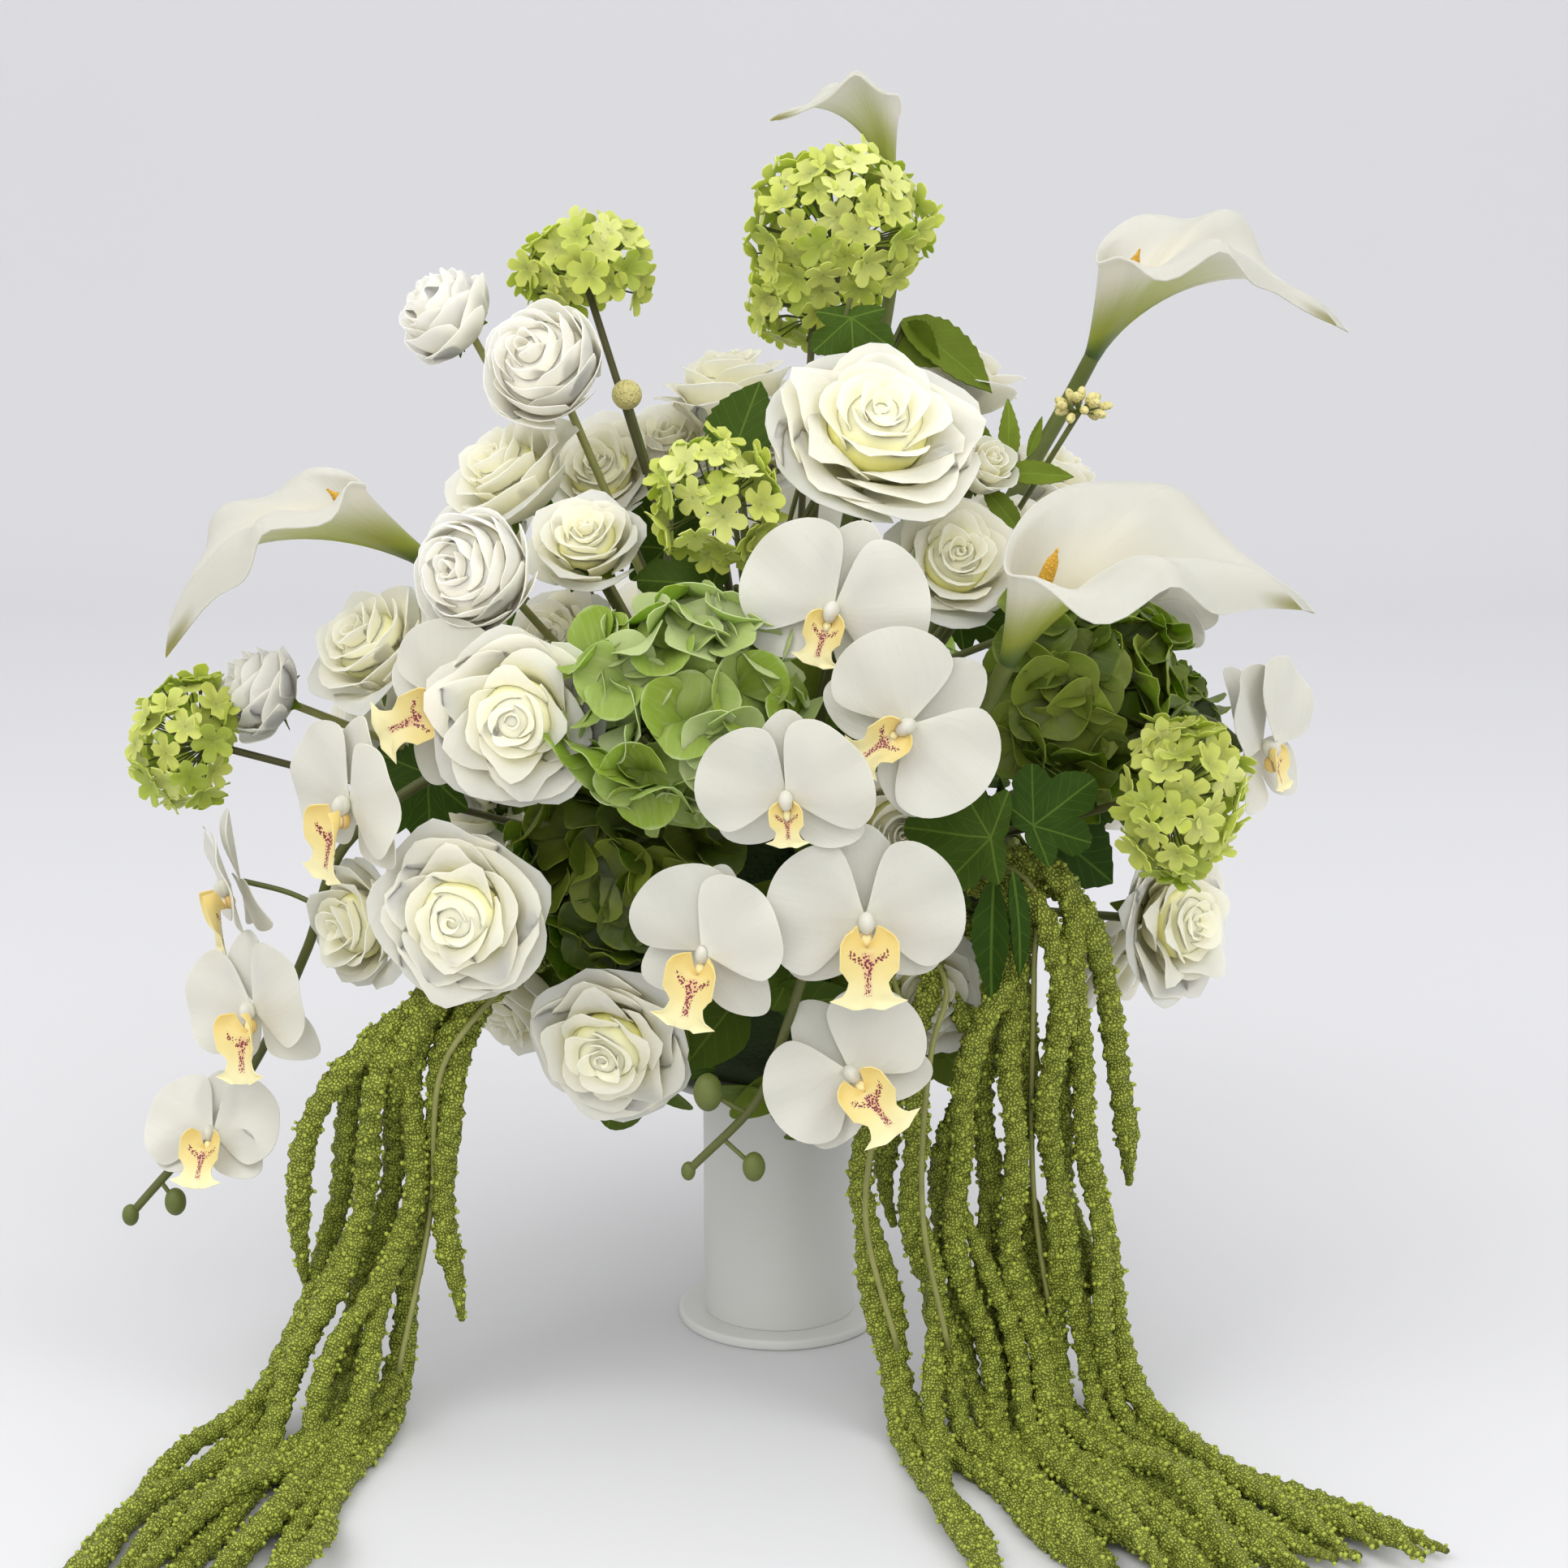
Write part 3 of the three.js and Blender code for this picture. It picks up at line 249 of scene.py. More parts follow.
# Leafy stems: each leaf's foot, the way it points, the way its face looks, its length, and how wide it is if it has
# no lobes. Olive leaves are lighter.
LEAVES = {
    "leaves_top": [
        leaf_at((-26, -36, 476), (0.2, -0.2, 1), (-0.2, -1, 0.3), 50, wide=0.36),
        leaf_at((-8, -30, 490), (0.75, 0, 0.7), (-0.3, -1, 0.5), 52, wide=0.26),
        leaf_at((36, -58, 566), (0.05, -0.25, -1), (0, -1, 0.2), 44),
        leaf_at((64, 4, 550), (0.9, -0.2, -0.5), (0.3, -0.8, 0.7), 60, wide=0.25, olive=True),
        leaf_at((66, 6, 548), (0.3, -0.1, -0.3), (-0.7, -0.9, 0.2), 30, wide=0.4, olive=True),
    ],
    "leaves_middle": [
        leaf_at((-20, -120, 428), (-0.9, -0.2, 0.1), (0, -1, 0.2), 52),
        leaf_at((-8, -124, 436), (1, -0.2, 0.2), (0, -1, 0.5), 46, wide=0.34),
        leaf_at((-8, -122, 432), (0.6, -0.1, 0.9), (0.2, -1, 0.3), 36, wide=0.3),
    ],
    "leaves_right": [
        leaf_at((114, -202, 318), (-1, -0.1, 0.1), (-0.2, -1, 0.1), 58),
        leaf_at((112, -192, 316), (0.75, -0.1, 0.6), (0.1, -1, 0.3), 52),
        leaf_at((104, -182, 296), (-0.1, -0.1, -1), (-0.4, -1, 0), 66, wide=0.14),
        leaf_at((112, -186, 300), (0.3, -0.1, -1), (0.6, -1, 0), 60, wide=0.1),
        leaf_at((126, -126, 312), (1, -0.4, -0.5), (0.3, -1, 0.3), 56, wide=0.36),
        leaf_at((130, -116, 324), (1, -0.4, 0.1), (0.2, -1, 0.2), 56, wide=0.36),
    ],
    "leaves_left": [
        leaf_at((-140, -70, 392), (-0.5, -0.3, 0.8), (-0.3, -1, 0.4), 60, wide=0.3),
        leaf_at((-170, -60, 330), (-0.8, -0.4, -0.3), (-0.4, -1, 0.3), 66),
        leaf_at((-160, -10, 250), (-0.8, 0.2, -0.4), (-0.6, 0.2, 0.8), 66),
    ],
    "leaves_back": [
        leaf_at((-60, 150, 400), (-0.4, 0.3, 0.8), (-0.2, 1, 0.4), 66),
        leaf_at((90, 160, 370), (0.8, 0.3, 0.5), (0.3, 1, 0.3), 66),
        leaf_at((20, 180, 270), (0.1, 0.4, -0.9), (0, 1, 0.4), 66),
    ],
}

# The berry spray: its tip, the leaves on its stem, and the round seed head on its own stalk at the left.
BERRY_TIP = (152, -60, 508)
BERRY_LEAVES = [
    leaf_at((112, -66, 478), (0.9, -0.2, 0.1), (0, -1, 0.5), 38, wide=0.17),
    leaf_at((116, -64, 480), (0.1, -0.1, 1), (0.2, -1, 0.2), 36, wide=0.15),
    leaf_at((108, -62, 476), (-0.4, -0.1, 0.9), (-0.4, -1, 0.2), 34, wide=0.18),
    leaf_at((126, -62, 486), (0.5, -0.2, 0.9), (0.3, -1, 0.1), 22, wide=0.13),
    leaf_at((104, -66, 470), (0.6, -0.4, -0.5), (0.2, -1, 0.6), 32, wide=0.2),
]
SEED_HEAD = (-80, 0, 512)

# Loose roses that show between the stems.
FILLER_ROSES = [
    head_at((-96, 24, 470), (-0.2, -0.8, 0.6), 33),
    head_at((-112, -92, 396), (-0.4, -0.8, 0.5), 30),
    head_at((118, -46, 446), (0.2, -0.6, 0.8), 28),
    head_at((-8, 40, 486), (0, -0.9, 0.5), 30),
]

# Amaranthus ropes: the radius of a rope as a whole, its room above the table, how far it sways, the radius of each of
# its two strands and how far the strand lies off the middle, the share of the points that carry a loose bead, and the
# tone that tells the finish that a bead is loose.
ROPE_RADIUS = 7.5
ROPE_FLOOR = 0.4
ROPE_SWAY = 2.6
UPPER_STRAND = (5.8, 3.0)
LOWER_STRAND = (5.0, 10.5)
LOOSE_BEADS = 0.05
LOOSE_TONE = -0.2

# Falls of amaranthus: the collar that holds the ropes, how much higher than its crest each rope starts, the crest
# where it leaves the ball, where the ropes hang, where they meet the table and where they end, first to last. tips
# are the ropes that end in the air and how far they hang below the waist, and bare are the ropes with a bare stem in
# front.
FALLS = {
    "amaranthus_left": {
        "collar": (-178, -142, 228),
        "lift": 110,
        "crests": [
            (-190, -148, 214),
            (-184, -156, 222),
            (-178, -142, 220),
            (-170, -158, 218),
            (-164, -144, 222),
            (-157, -156, 214),
            (-152, -146, 208),
        ],
        "waist": ((-238, -136, 110), (-169, -142, 110)),
        "landing": ((-282, -160, 0), (-192, -166, 0)),
        "end": ((-352, -340, 0), (-214, -384, 0)),
        "tips": {0: 36, 6: 54},
        "bare": (5,),
    },
    "amaranthus_right": {
        "collar": (124, -150, 262),
        "lift": 50,
        "crests": [
            (58, -162, 226),
            (52, -146, 200),
            (80, -160, 238),
            (96, -166, 216),
            (108, -158, 244),
            (112, -168, 276),
            (116, -150, 280),
            (122, -152, 286),
            (130, -168, 282),
            (135, -162, 286),
            (139, -152, 288),
            (146, -160, 276),
        ],
        "waist": ((44, -150, 120), (172, -132, 120)),
        "landing": ((70, -150, 0), (198, -140, 0)),
        "end": ((104, -372, 0), (316, -320, 0)),
        "tips": {1: 16, 11: 2},
        "bare": (0, 2, 7),
    },
}


def srgb(red, green, blue):
    """A colour given as it looks on a screen, from 0 to 255, as the linear colour that a shader takes."""
    return tuple((value / 255) ** 2.2 for value in (red, green, blue))


def colour(name, description, default):
    """A colour that a user can change."""
    return bpy.props.FloatVectorProperty(
        name=name, description=description, default=default, size=3, min=0, max=1, subtype="COLOR"
    )


def length(name, description, default):
    """A size in millimetres that a user can change."""
    return bpy.props.FloatProperty(name=name, description=description, default=default, min=0.1, unit="NONE")


class CenterpieceSizes(bpy.types.PropertyGroup):
    """Sizes of the fine parts, in millimetres."""

    petal_thickness: length("Petal thickness", "Thickness of a rose petal, mm", 0.5)
    floret_thickness: length("Floret thickness", "Thickness of a snowball floret, mm", 0.5)
    spathe_thickness: length("Spathe thickness", "Thickness of a calla's sheet, mm", 1.1)
    leaf_thickness: length("Leaf thickness", "Thickness of a leaf, mm", 0.6)
    floret_radius: length("Floret radius", "Radius of a snowball floret, mm", 11.6)
    hydrangea_petal: length("Hydrangea petal", "Length of a hydrangea petal, mm", 24.5)
    bead_size: length("Bead size", "Distance between the middles of amaranthus beads, mm", 1.6)
    bead_spacing: length("Rope detail", "Distance between the points on an amaranthus rope, mm", 2.05)
    loose_bead_radius: length("Loose bead", "Radius of a bead that stands off its rope, mm", 1.25)
    stem_radius: length("Stem radius", "Radius of a rose stem, mm", 2.4)


class CenterpieceColours(bpy.types.PropertyGroup):
    """Colours of the flowers, the leaves and the stand."""

    rose_white: colour("Rose", "Lip of a rose petal", srgb(252, 248, 224))
    # The rose heart colour is partly the rose's own and partly painted warm shade in the creases.
    rose_heart_and_crease_shade: colour("Rose heart", "Foot of a rose petal", srgb(240, 235, 152))
    ranunculus_white: colour("Ranunculus", "Ranunculus petal", srgb(254, 251, 236))
    spathe_white: colour("Calla", "Calla spathe", srgb(182, 180, 168))
    spathe_green: colour("Calla foot", "Outside of a calla near its stem", srgb(132, 142, 52))
    spadix_yellow: colour("Spadix", "Calla spadix", srgb(240, 184, 58))
    orchid_white: colour("Orchid", "Orchid petal", srgb(200, 198, 185))
    lip_yellow: colour("Orchid lip", "Orchid lip", srgb(222, 198, 128))
    lip_speckle: colour("Orchid speckle", "Speckles on the orchid lip", srgb(112, 16, 44))
    viburnum_lime: colour("Snowball", "Snowball floret", srgb(180, 190, 84))
    hydrangea_light: colour("Light hydrangea", "Light hydrangea petal", srgb(152, 164, 72))
    hydrangea_dark: colour("Dark hydrangea", "Dark hydrangea petal", srgb(66, 76, 14))
    hydrangea_olive: colour("Olive hydrangea", "Olive hydrangea petal", srgb(94, 106, 32))
    leaf_green: colour("Leaf", "Face of a leaf", srgb(30, 60, 14))
    stem_green: colour("Stem", "Flower stem", srgb(94, 104, 44))
    bare_stem: colour("Bare stem", "Stem that shows in front of the amaranthus", srgb(138, 140, 78))
    amaranthus_green: colour("Amaranthus", "Amaranthus bead", srgb(158, 172, 46))
    berry_yellow: colour("Berry", "Berries and seed head", srgb(234, 222, 146))
    stand_white: colour("Stand", "Painted stand", srgb(208, 208, 204))
    floor_pale: colour("Floor", "Floor and backdrop", srgb(211, 211, 213))


def sizes():
    """The sizes that a user can change."""
    return bpy.context.scene.centerpiece_sizes


def colours():
    """The colours that a user can change."""
    return bpy.context.scene.centerpiece_colours


# Vectors and frames


def unit(vector):
    """The same direction, one long."""
    vector = np.asarray(vector, float)
    return vector / np.linalg.norm(vector)


def spin(degrees):
    """A turn about +Z."""
    angle = math.radians(degrees)
    cosine, sine = math.cos(angle), math.sin(angle)
    return np.array([[cosine, -sine, 0], [sine, cosine, 0], [0, 0, 1]])


def tilt(degrees):
    """A lift of +X towards +Z."""
    angle = math.radians(degrees)
    cosine, sine = math.cos(angle), math.sin(angle)
    return np.array([[cosine, 0, -sine], [0, 1, 0], [sine, 0, cosine]])


def turn_to(face, up=(0, 0, 1), roll=0.0):
    """The turn that brings +Z to face and +Y as near to up as can be, after a roll about its own +Z."""
    z = unit(face)
    y = np.asarray(up, float) - z * np.dot(up, z)
    if np.dot(y, y) < 1e-3:
        y = np.array([0.0, 1.0, 0.0]) - z * z[1]
    y = unit(y)
    return np.column_stack([np.cross(y, z), y, z]) @ spin(math.degrees(roll))


def turn_along(along, face):
    """The turn that brings +X to along as near as can be and +Z to face."""
    z = unit(face)
    x = unit(np.asarray(along, float) - z * np.dot(along, z))
    return np.column_stack([x, np.cross(z, x), z])


def draw(seed):
    """A number from 0 to 1 that is always the same for the same seed."""
    value = math.sin(seed * 12.9898 + 4.1414) * 43758.5453
    return value - math.floor(value)


def over_core(place, height):
    """The place at a height above the core's surface, on the line from its middle to somewhere outside."""
    return CORE_CENTRE + unit(np.asarray(place, float) - CORE_CENTRE) * (CORE_RADIUS + height)


# Surfaces before they are meshes


class Surface:
    """Points in millimetres with their faces, and for each point its place in the pattern and its tone."""

    def __init__(self, points, faces, pattern=None, tone=0.5, finish=0):
        self.points = np.asarray(points, float)
        count = len(self.points)
        self.quads = np.zeros((0, 4), int)
        self.triangles = np.zeros((0, 3), int)
        for block in faces:
            block = np.asarray(block, int)
            if block.size and block.shape[1] == 4:
                self.quads = np.vstack([self.quads, block])
            elif block.size:
                self.triangles = np.vstack([self.triangles, block])
        self.pattern = np.zeros((count, 2)) if pattern is None else np.asarray(pattern, float)
        self.tone = np.broadcast_to(np.asarray(tone, float), (count,)).copy()
        self.finish = finish

    def placed(self, turn, place):
        """The same surface turned and then moved."""
        return self.like(self.points @ np.asarray(turn).T + np.asarray(place, float))

    def like(self, points, tone=None):
        """The same surface with other points, and perhaps another tone."""
        tone = self.tone if tone is None else tone
        return Surface(points, [self.quads, self.triangles], self.pattern, tone, self.finish)


def deselect_all():
    """Leaves no object selected."""
    if bpy.context.object and bpy.context.object.mode != "OBJECT":
        bpy.ops.object.mode_set(mode="OBJECT")
    bpy.ops.object.select_all(action="DESELECT")


def make_active(thing):
    """Selects one object alone."""
    deselect_all()
    thing.select_set(True)
    bpy.context.view_layer.objects.active = thing


def taken(thing):
    """The points and faces of a template's mesh, in its own units. The template is removed."""
    mesh = thing.data
    points = np.zeros(len(mesh.vertices) * 3)
    mesh.vertices.foreach_get("co", points)
    faces = {}
    for polygon in mesh.polygons:
        faces.setdefault(len(polygon.vertices), []).append(tuple(polygon.vertices))
    bpy.data.objects.remove(thing)
    bpy.data.meshes.remove(mesh)
    return points.reshape(-1, 3), [np.array(block) for block in faces.values()]


@functools.lru_cache(maxsize=None)
def flat_sheet(across, along):
    """A flat grid with s from -1 to 1 across, t from 0 to 1 along, and its faces."""
    deselect_all()
    bpy.ops.mesh.primitive_grid_add(x_subdivisions=across, y_subdivisions=along, size=2)
    points, faces = taken(bpy.context.object)
    return points[:, 0], (points[:, 1] + 1) / 2, faces


@functools.lru_cache(maxsize=None)
def round_sheet(across, along):
    """A flat grid rounded to a disc: x runs from -1 to 1 along, y from -1 to 1 across."""
    s, t, faces = flat_sheet(across, along)
    q = 2 * t - 1
    return q * np.sqrt(1 - s * s / 2), s * np.sqrt(1 - q * q / 2), faces


@functools.lru_cache(maxsize=None)
def ball_shape(segments, rings):
    """A closed ball one unit in radius."""
    deselect_all()
    bpy.ops.mesh.primitive_uv_sphere_add(segments=segments, ring_count=rings, radius=1)
    return taken(bpy.context.object)


def ball(place, radii, turn=None, tone=0.5, finish=0, segments=12, rings=8):
    """A closed ball, or an egg."""
    points, faces = ball_shape(segments, rings)
    shaped = points * np.asarray(radii, float)
    surface = Surface(shaped, faces, np.column_stack([points[:, 2], points[:, 2]]), tone, finish)
    return surface.placed(np.eye(3) if turn is None else turn, place)


def smooth_route(points, spacing):
    """Points at even spacing on a smooth curve through the given ones."""
    knots = np.asarray(points, float)
    padded = np.vstack([2 * knots[0] - knots[1], knots, 2 * knots[-1] - knots[-2]])
    fine = []
    for i in range(len(knots) - 1):
        p0, p1, p2, p3 = padded[i : i + 4]
        d0, d1, d2 = (max(np.linalg.norm(b - a) ** 0.5, 1e-6) for a, b in ((p0, p1), (p1, p2), (p2, p3)))
        start = ((p1 - p0) / d0 - (p2 - p0) / (d0 + d1) + (p2 - p1) / d1) * d1
        finish = ((p2 - p1) / d1 - (p3 - p1) / (d1 + d2) + (p3 - p2) / d2) * d1
        t = np.linspace(0, 1, 40)[:, None]
        fine.append(
            (2 * t**3 - 3 * t**2 + 1) * p1
            + (t**3 - 2 * t**2 + t) * start
            + (3 * t**2 - 2 * t**3) * p2
            + (t**3 - t**2) * finish
        )
    fine = np.vstack(fine)
    gone = np.concatenate([[0], np.cumsum(np.linalg.norm(np.diff(fine, axis=0), axis=1))])
    count = max(int(gone[-1] / spacing), 2) + 1
    at = np.linspace(0, gone[-1], count)
    return np.column_stack([np.interp(at, gone, fine[:, k]) for k in range(3)])


def frames_on(route):
    """Two directions across a route at each of its points, with no twist between them."""
    ahead = np.gradient(route, axis=0)
    ahead /= np.linalg.norm(ahead, axis=1)[:, None]
    side = np.cross(ahead[0], (0, 0, 1) if abs(ahead[0][2]) < 0.9 else (1, 0, 0))
    sides = []
    for way in ahead:
        side = unit(side - way * np.dot(side, way))
        sides.append(side)
    sides = np.array(sides)
    return sides, np.cross(ahead, sides)


def band_faces(around, levels):
    """The faces of a closed band, from one ring of points to the next."""
    rows = np.arange(levels - 1)[:, None] * around
    k = np.arange(around)[None, :]
    j = (k + 1) % around
    return np.stack([rows + k, rows + j, rows + around + j, rows + around + k], axis=-1).reshape(-1, 4)


def fan_faces(hub, ring, flipped=False):
    """The faces between a middle point and the ring of points round it."""
    after = np.roll(ring, -1)
    return np.column_stack([np.full(len(ring), hub), *((after, ring) if flipped else (ring, after))])


def tube(route, radius, sides=8, tone=0.5, finish=0):
    """A closed round tube along a route. radius is one number, or one for each point."""
    route = np.asarray(route, float)
    radii = np.broadcast_to(np.asarray(radius, float), (len(route),))
    first, second = frames_on(route)
    angle = np.arange(sides) / sides * 2 * math.pi
    ring = np.cos(angle)[None, :, None] * first[:, None, :]
    ring = ring + np.sin(angle)[None, :, None] * second[:, None, :]
    points = (route[:, None, :] + ring * radii[:, None, None]).reshape(-1, 3)
    hub = len(points)
    first_ring = np.arange(sides)
    caps = [fan_faces(hub, first_ring, True), fan_faces(hub + 1, first_ring + hub - sides)]
    along = np.repeat(np.linspace(0, 1, len(route)), sides)
    round_it = np.tile(angle / (2 * math.pi), len(route))
    pattern = np.vstack([np.column_stack([round_it, along]), [[0, 0], [0, 1]]])
    points = np.vstack([points, route[0], route[-1]])
    return Surface(points, [band_faces(sides, len(route)), *caps], pattern, tone, finish)


# Pieces


def mesh_of(name, surfaces):
    """One mesh from many surfaces, in metres, with its pattern as a UV map and its tone as an attribute."""
    offset = 0
    points, corners, starts, finish, pattern, tone = [], [], [], [], [], []
    begun = 0
    for surface in surfaces:
        points.append(surface.points)
        pattern.append(surface.pattern)
        tone.append(surface.tone)
        for block in (surface.quads, surface.triangles):
            if not len(block):
                continue
            corners.append((block + offset).ravel())
            starts.append(begun + np.arange(len(block)) * block.shape[1])
            finish.append(np.full(len(block), surface.finish))
            begun += block.size
        offset += len(surface.points)
    points, corners, starts = np.vstack(points) * MM, np.concatenate(corners), np.concatenate(starts)
    mesh = bpy.data.meshes.new(name)
    mesh.vertices.add(len(points))
    mesh.vertices.foreach_set("co", points.ravel())
    mesh.loops.add(len(corners))
    mesh.loops.foreach_set("vertex_index", corners)
    mesh.polygons.add(len(starts))
    mesh.polygons.foreach_set("loop_start", starts)
    mesh.polygons.foreach_set("material_index", np.concatenate(finish))
    mesh.update(calc_edges=True)
    mesh.uv_layers.new(name="UVMap").data.foreach_set("uv", np.vstack(pattern)[corners].ravel())
    mesh.attributes.new("tone", "FLOAT", "POINT").data.foreach_set("value", np.concatenate(tone))
    return mesh


def object_of(name, surfaces):
    """One object from many surfaces, linked to the scene."""
    thing = bpy.data.objects.new(name, mesh_of(name, surfaces))
    bpy.context.scene.collection.objects.link(thing)
    return thing


def piece(name, finishes, nodes, sheets=(), solids=(), thickness=1.0, sharp=48):
    """A finished piece: thin sheets get their thickness, closed solids join them, and the whole stands for its CAD
    nodes."""
    parts = []
    if sheets:
        made = object_of(name, sheets)
        make_active(made)
        bpy.ops.object.modifier_add(type="SOLIDIFY")
        made.modifiers[-1].thickness = thickness * MM
        made.modifiers[-1].offset = 0
        bpy.ops.object.modifier_apply(modifier=made.modifiers[-1].name)
        parts.append(made)
    if solids:
        parts.append(object_of(name if not parts else name + "_solids", solids))
    make_active(parts[0])
    for part in parts:
        part.select_set(True)
        for material in finishes:
            part.data.materials.append(material)
    if len(parts) > 1:
        bpy.ops.object.join()
    whole = bpy.context.object
    bpy.ops.object.shade_smooth_by_angle(angle=math.radians(sharp))
    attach(whole, BODY)
    if nodes:
        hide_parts(*nodes)
    return whole


# Materials


class Nodes:
    """The node tree of a material or group, with short ways to add nodes and join them."""

    def __init__(self, tree):
        self.tree = tree

    def add(self, kind, values=None, **settings):
        node = self.tree.nodes.new(kind)
        for key, value in settings.items():
            setattr(node, key, value)
        for key, value in (values or {}).items():
            self.feed(node.inputs[key], value)
        return node

    def feed(self, socket, value):
        """Links a socket to another one, or sets it to a value or a colour."""
        if isinstance(value, bpy.types.NodeSocket):
            self.tree.links.new(value, socket)
        elif isinstance(value, tuple) and len(value) == 3 and socket.type == "RGBA":
            socket.default_value = (*value, 1)
        else:
            socket.default_value = value

    def math(self, operation, first, second=0.0, third=0.0, clamp=False):
        node = self.add("ShaderNodeMath", {0: first, 1: second, 2: third}, operation=operation)
        node.use_clamp = clamp
        return node.outputs[0]

    def times(self, first, second):
        return self.math("MULTIPLY", first, second)

    def off(self, value, middle):
        """How far a value is from a middle, either way."""
        return self.math("ABSOLUTE", self.math("SUBTRACT", value, middle))

    def between(self, value, low, high, to_low=0.0, to_high=1.0):
        """A smooth step from one value to another."""
        values = {"Value": value, "From Min": low, "From Max": high, "To Min": to_low, "To Max": to_high}
        return self.add("ShaderNodeMapRange", values, interpolation_type="SMOOTHSTEP").outputs["Result"]

    def mix(self, factor, first, second, blend="MIX"):
        node = self.add("ShaderNodeMix", data_type="RGBA", blend_type=blend)
        self.feed(node.inputs[0], factor)
        self.feed(node.inputs[6], first)
        self.feed(node.inputs[7], second)
        return node.outputs[2]

    def touch(self, mask, amount, first, second):
        """The first colour with a touch of the second where a mask is high."""
        return self.mix(self.times(mask, amount), first, second)

    def shade(self, value, amount):
        """A colour made darker or lighter by an amount."""
        grey = self.add("ShaderNodeCombineColor", {0: amount, 1: amount, 2: amount}).outputs[0]
        return self.mix(1.0, value, grey, "MULTIPLY")

    def pattern(self):
        """The two directions of a surface's pattern."""
        split = self.add("ShaderNodeSeparateXYZ", {0: self.add("ShaderNodeUVMap", uv_map="UVMap").outputs[0]})
        return split.outputs[0], split.outputs[1]

    def tone(self):
        return self.add("ShaderNodeAttribute", attribute_name="tone").outputs["Fac"]

    def place(self):
        return self.add("ShaderNodeTexCoord").outputs["Object"]

    def noise(self, vector, scale, detail=2.0, roughness=0.5):
        values = {"Vector": vector, "Scale": scale, "Detail": detail, "Roughness": roughness}
        return self.add("ShaderNodeTexNoise", values).outputs[0]

    def grains(self, scale):
        """Small round grains, 1 in their middles and 0 between them."""
        cells = self.add("ShaderNodeTexVoronoi", {"Vector": self.place(), "Scale": scale})
        return self.between(cells.outputs["Distance"], 0.0, 0.6, 1.0, 0.0)

    def joined(self, x, y, z=0.0):
        return self.add("ShaderNodeCombineXYZ", {0: x, 1: y, 2: z}).outputs[0]

    def group(self, group, **values):
        node = self.add("ShaderNodeGroup", node_tree=group)
        for key, value in values.items():
            self.feed(node.inputs[key], value)
        return node


def new_group(name, inputs, outputs):
    """A node group with named inputs, each with its default, and named outputs."""
    tree = bpy.data.node_groups.new(name, "ShaderNodeTree")
    for label, default in inputs.items():
        socket = tree.interface.new_socket(label, in_out="INPUT", socket_type="NodeSocketFloat")
        socket.default_value = default
    for label, kind in outputs.items():
        tree.interface.new_socket(label, in_out="OUTPUT", socket_type=kind)
    nodes = Nodes(tree)
    return nodes, nodes.add("NodeGroupInput"), nodes.add("NodeGroupOutput")


@functools.lru_cache(maxsize=None)
def petal_fibre():
    """Fine fibres that run along a petal from its foot to its lip, as a height and as a mask."""
    results = {"Height": "NodeSocketFloat", "Mask": "NodeSocketFloat"}
    nodes, given, result = new_group("Petal Fibre", {"Count": 30.0, "Length": 1.6}, results)
    u, v = nodes.pattern()
    across = nodes.times(u, given.outputs["Count"])
    along = nodes.times(v, given.outputs["Length"])
    place = nodes.joined(across, along, nodes.tone())
    fibre = nodes.noise(place, 1.0, 3.0, 0.55)
    nodes.tree.links.new(fibre, result.inputs["Height"])
    nodes.tree.links.new(nodes.between(fibre, 0.42, 0.72), result.inputs["Mask"])
    return nodes.tree


@functools.lru_cache(maxsize=None)
def cloth_grain():
    """The fine weave and the soft mottling of silk, foam and paint, as a height and as a mask."""
    results = {"Height": "NodeSocketFloat", "Mottle": "NodeSocketFloat"}
    nodes, given, result = new_group("Cloth Grain", {"Scale": 1.0}, results)
    place = nodes.place()
    fine = nodes.times(given.outputs["Scale"], 1400.0)
    coarse = nodes.times(given.outputs["Scale"], 70.0)
    nodes.tree.links.new(nodes.noise(place, fine, 2.0), result.inputs["Height"])
    nodes.tree.links.new(nodes.between(nodes.noise(place, coarse, 3.0), 0.3, 0.7), result.inputs["Mottle"])
    return nodes.tree


def fibre_of(nodes, count, length):
    """A petal's fibres: their height and their mask."""
    fibre = nodes.group(petal_fibre(), Count=count, Length=length)
    return fibre.outputs["Height"], fibre.outputs["Mask"]


def grain_of(nodes, scale):
    """A cloth's grain: its height and its mottling."""
    grain = nodes.group(cloth_grain(), Scale=scale)
    return grain.outputs["Height"], grain.outputs["Mottle"]


def new_material(name):
    """A material with its nodes and its shader."""
    material = bpy.data.materials.new(name)
    material.use_nodes = True
    nodes = Nodes(material.node_tree)
    shader = material.node_tree.nodes["Principled BSDF"]
    return material, nodes, shader


def finish_shader(nodes, shader, base, roughness, height=None, relief=0.2, depth=0.0004, **constants):
    """Sets a shader's colour, roughness and bump, and the values that are the same all over."""
    nodes.feed(shader.inputs["Base Color"], base)
    nodes.feed(shader.inputs["Roughness"], roughness)
    if height is not None:
        bump = nodes.add("ShaderNodeBump", {"Strength": relief, "Distance": depth, "Height": height})
        nodes.feed(shader.inputs["Normal"], bump.outputs[0])
    for key, value in constants.items():
        shader.inputs[key].default_value = value


PETAL_GLOW = {"Subsurface Weight": 0.85, "Subsurface Scale": 0.008, "Subsurface Radius": (1.0, 0.99, 0.92)}
THIN_GLOW = {"Subsurface Weight": 0.6, "Subsurface Scale": 0.003, "Subsurface Radius": (1.0, 0.98, 0.9)}
GREEN_GLOW = {
    "Subsurface Weight": 0.4,
    "Subsurface Scale": 0.004,
    "Subsurface Radius": (0.7, 1.0, 0.3),
    "Specular IOR Level": 0.25,
}


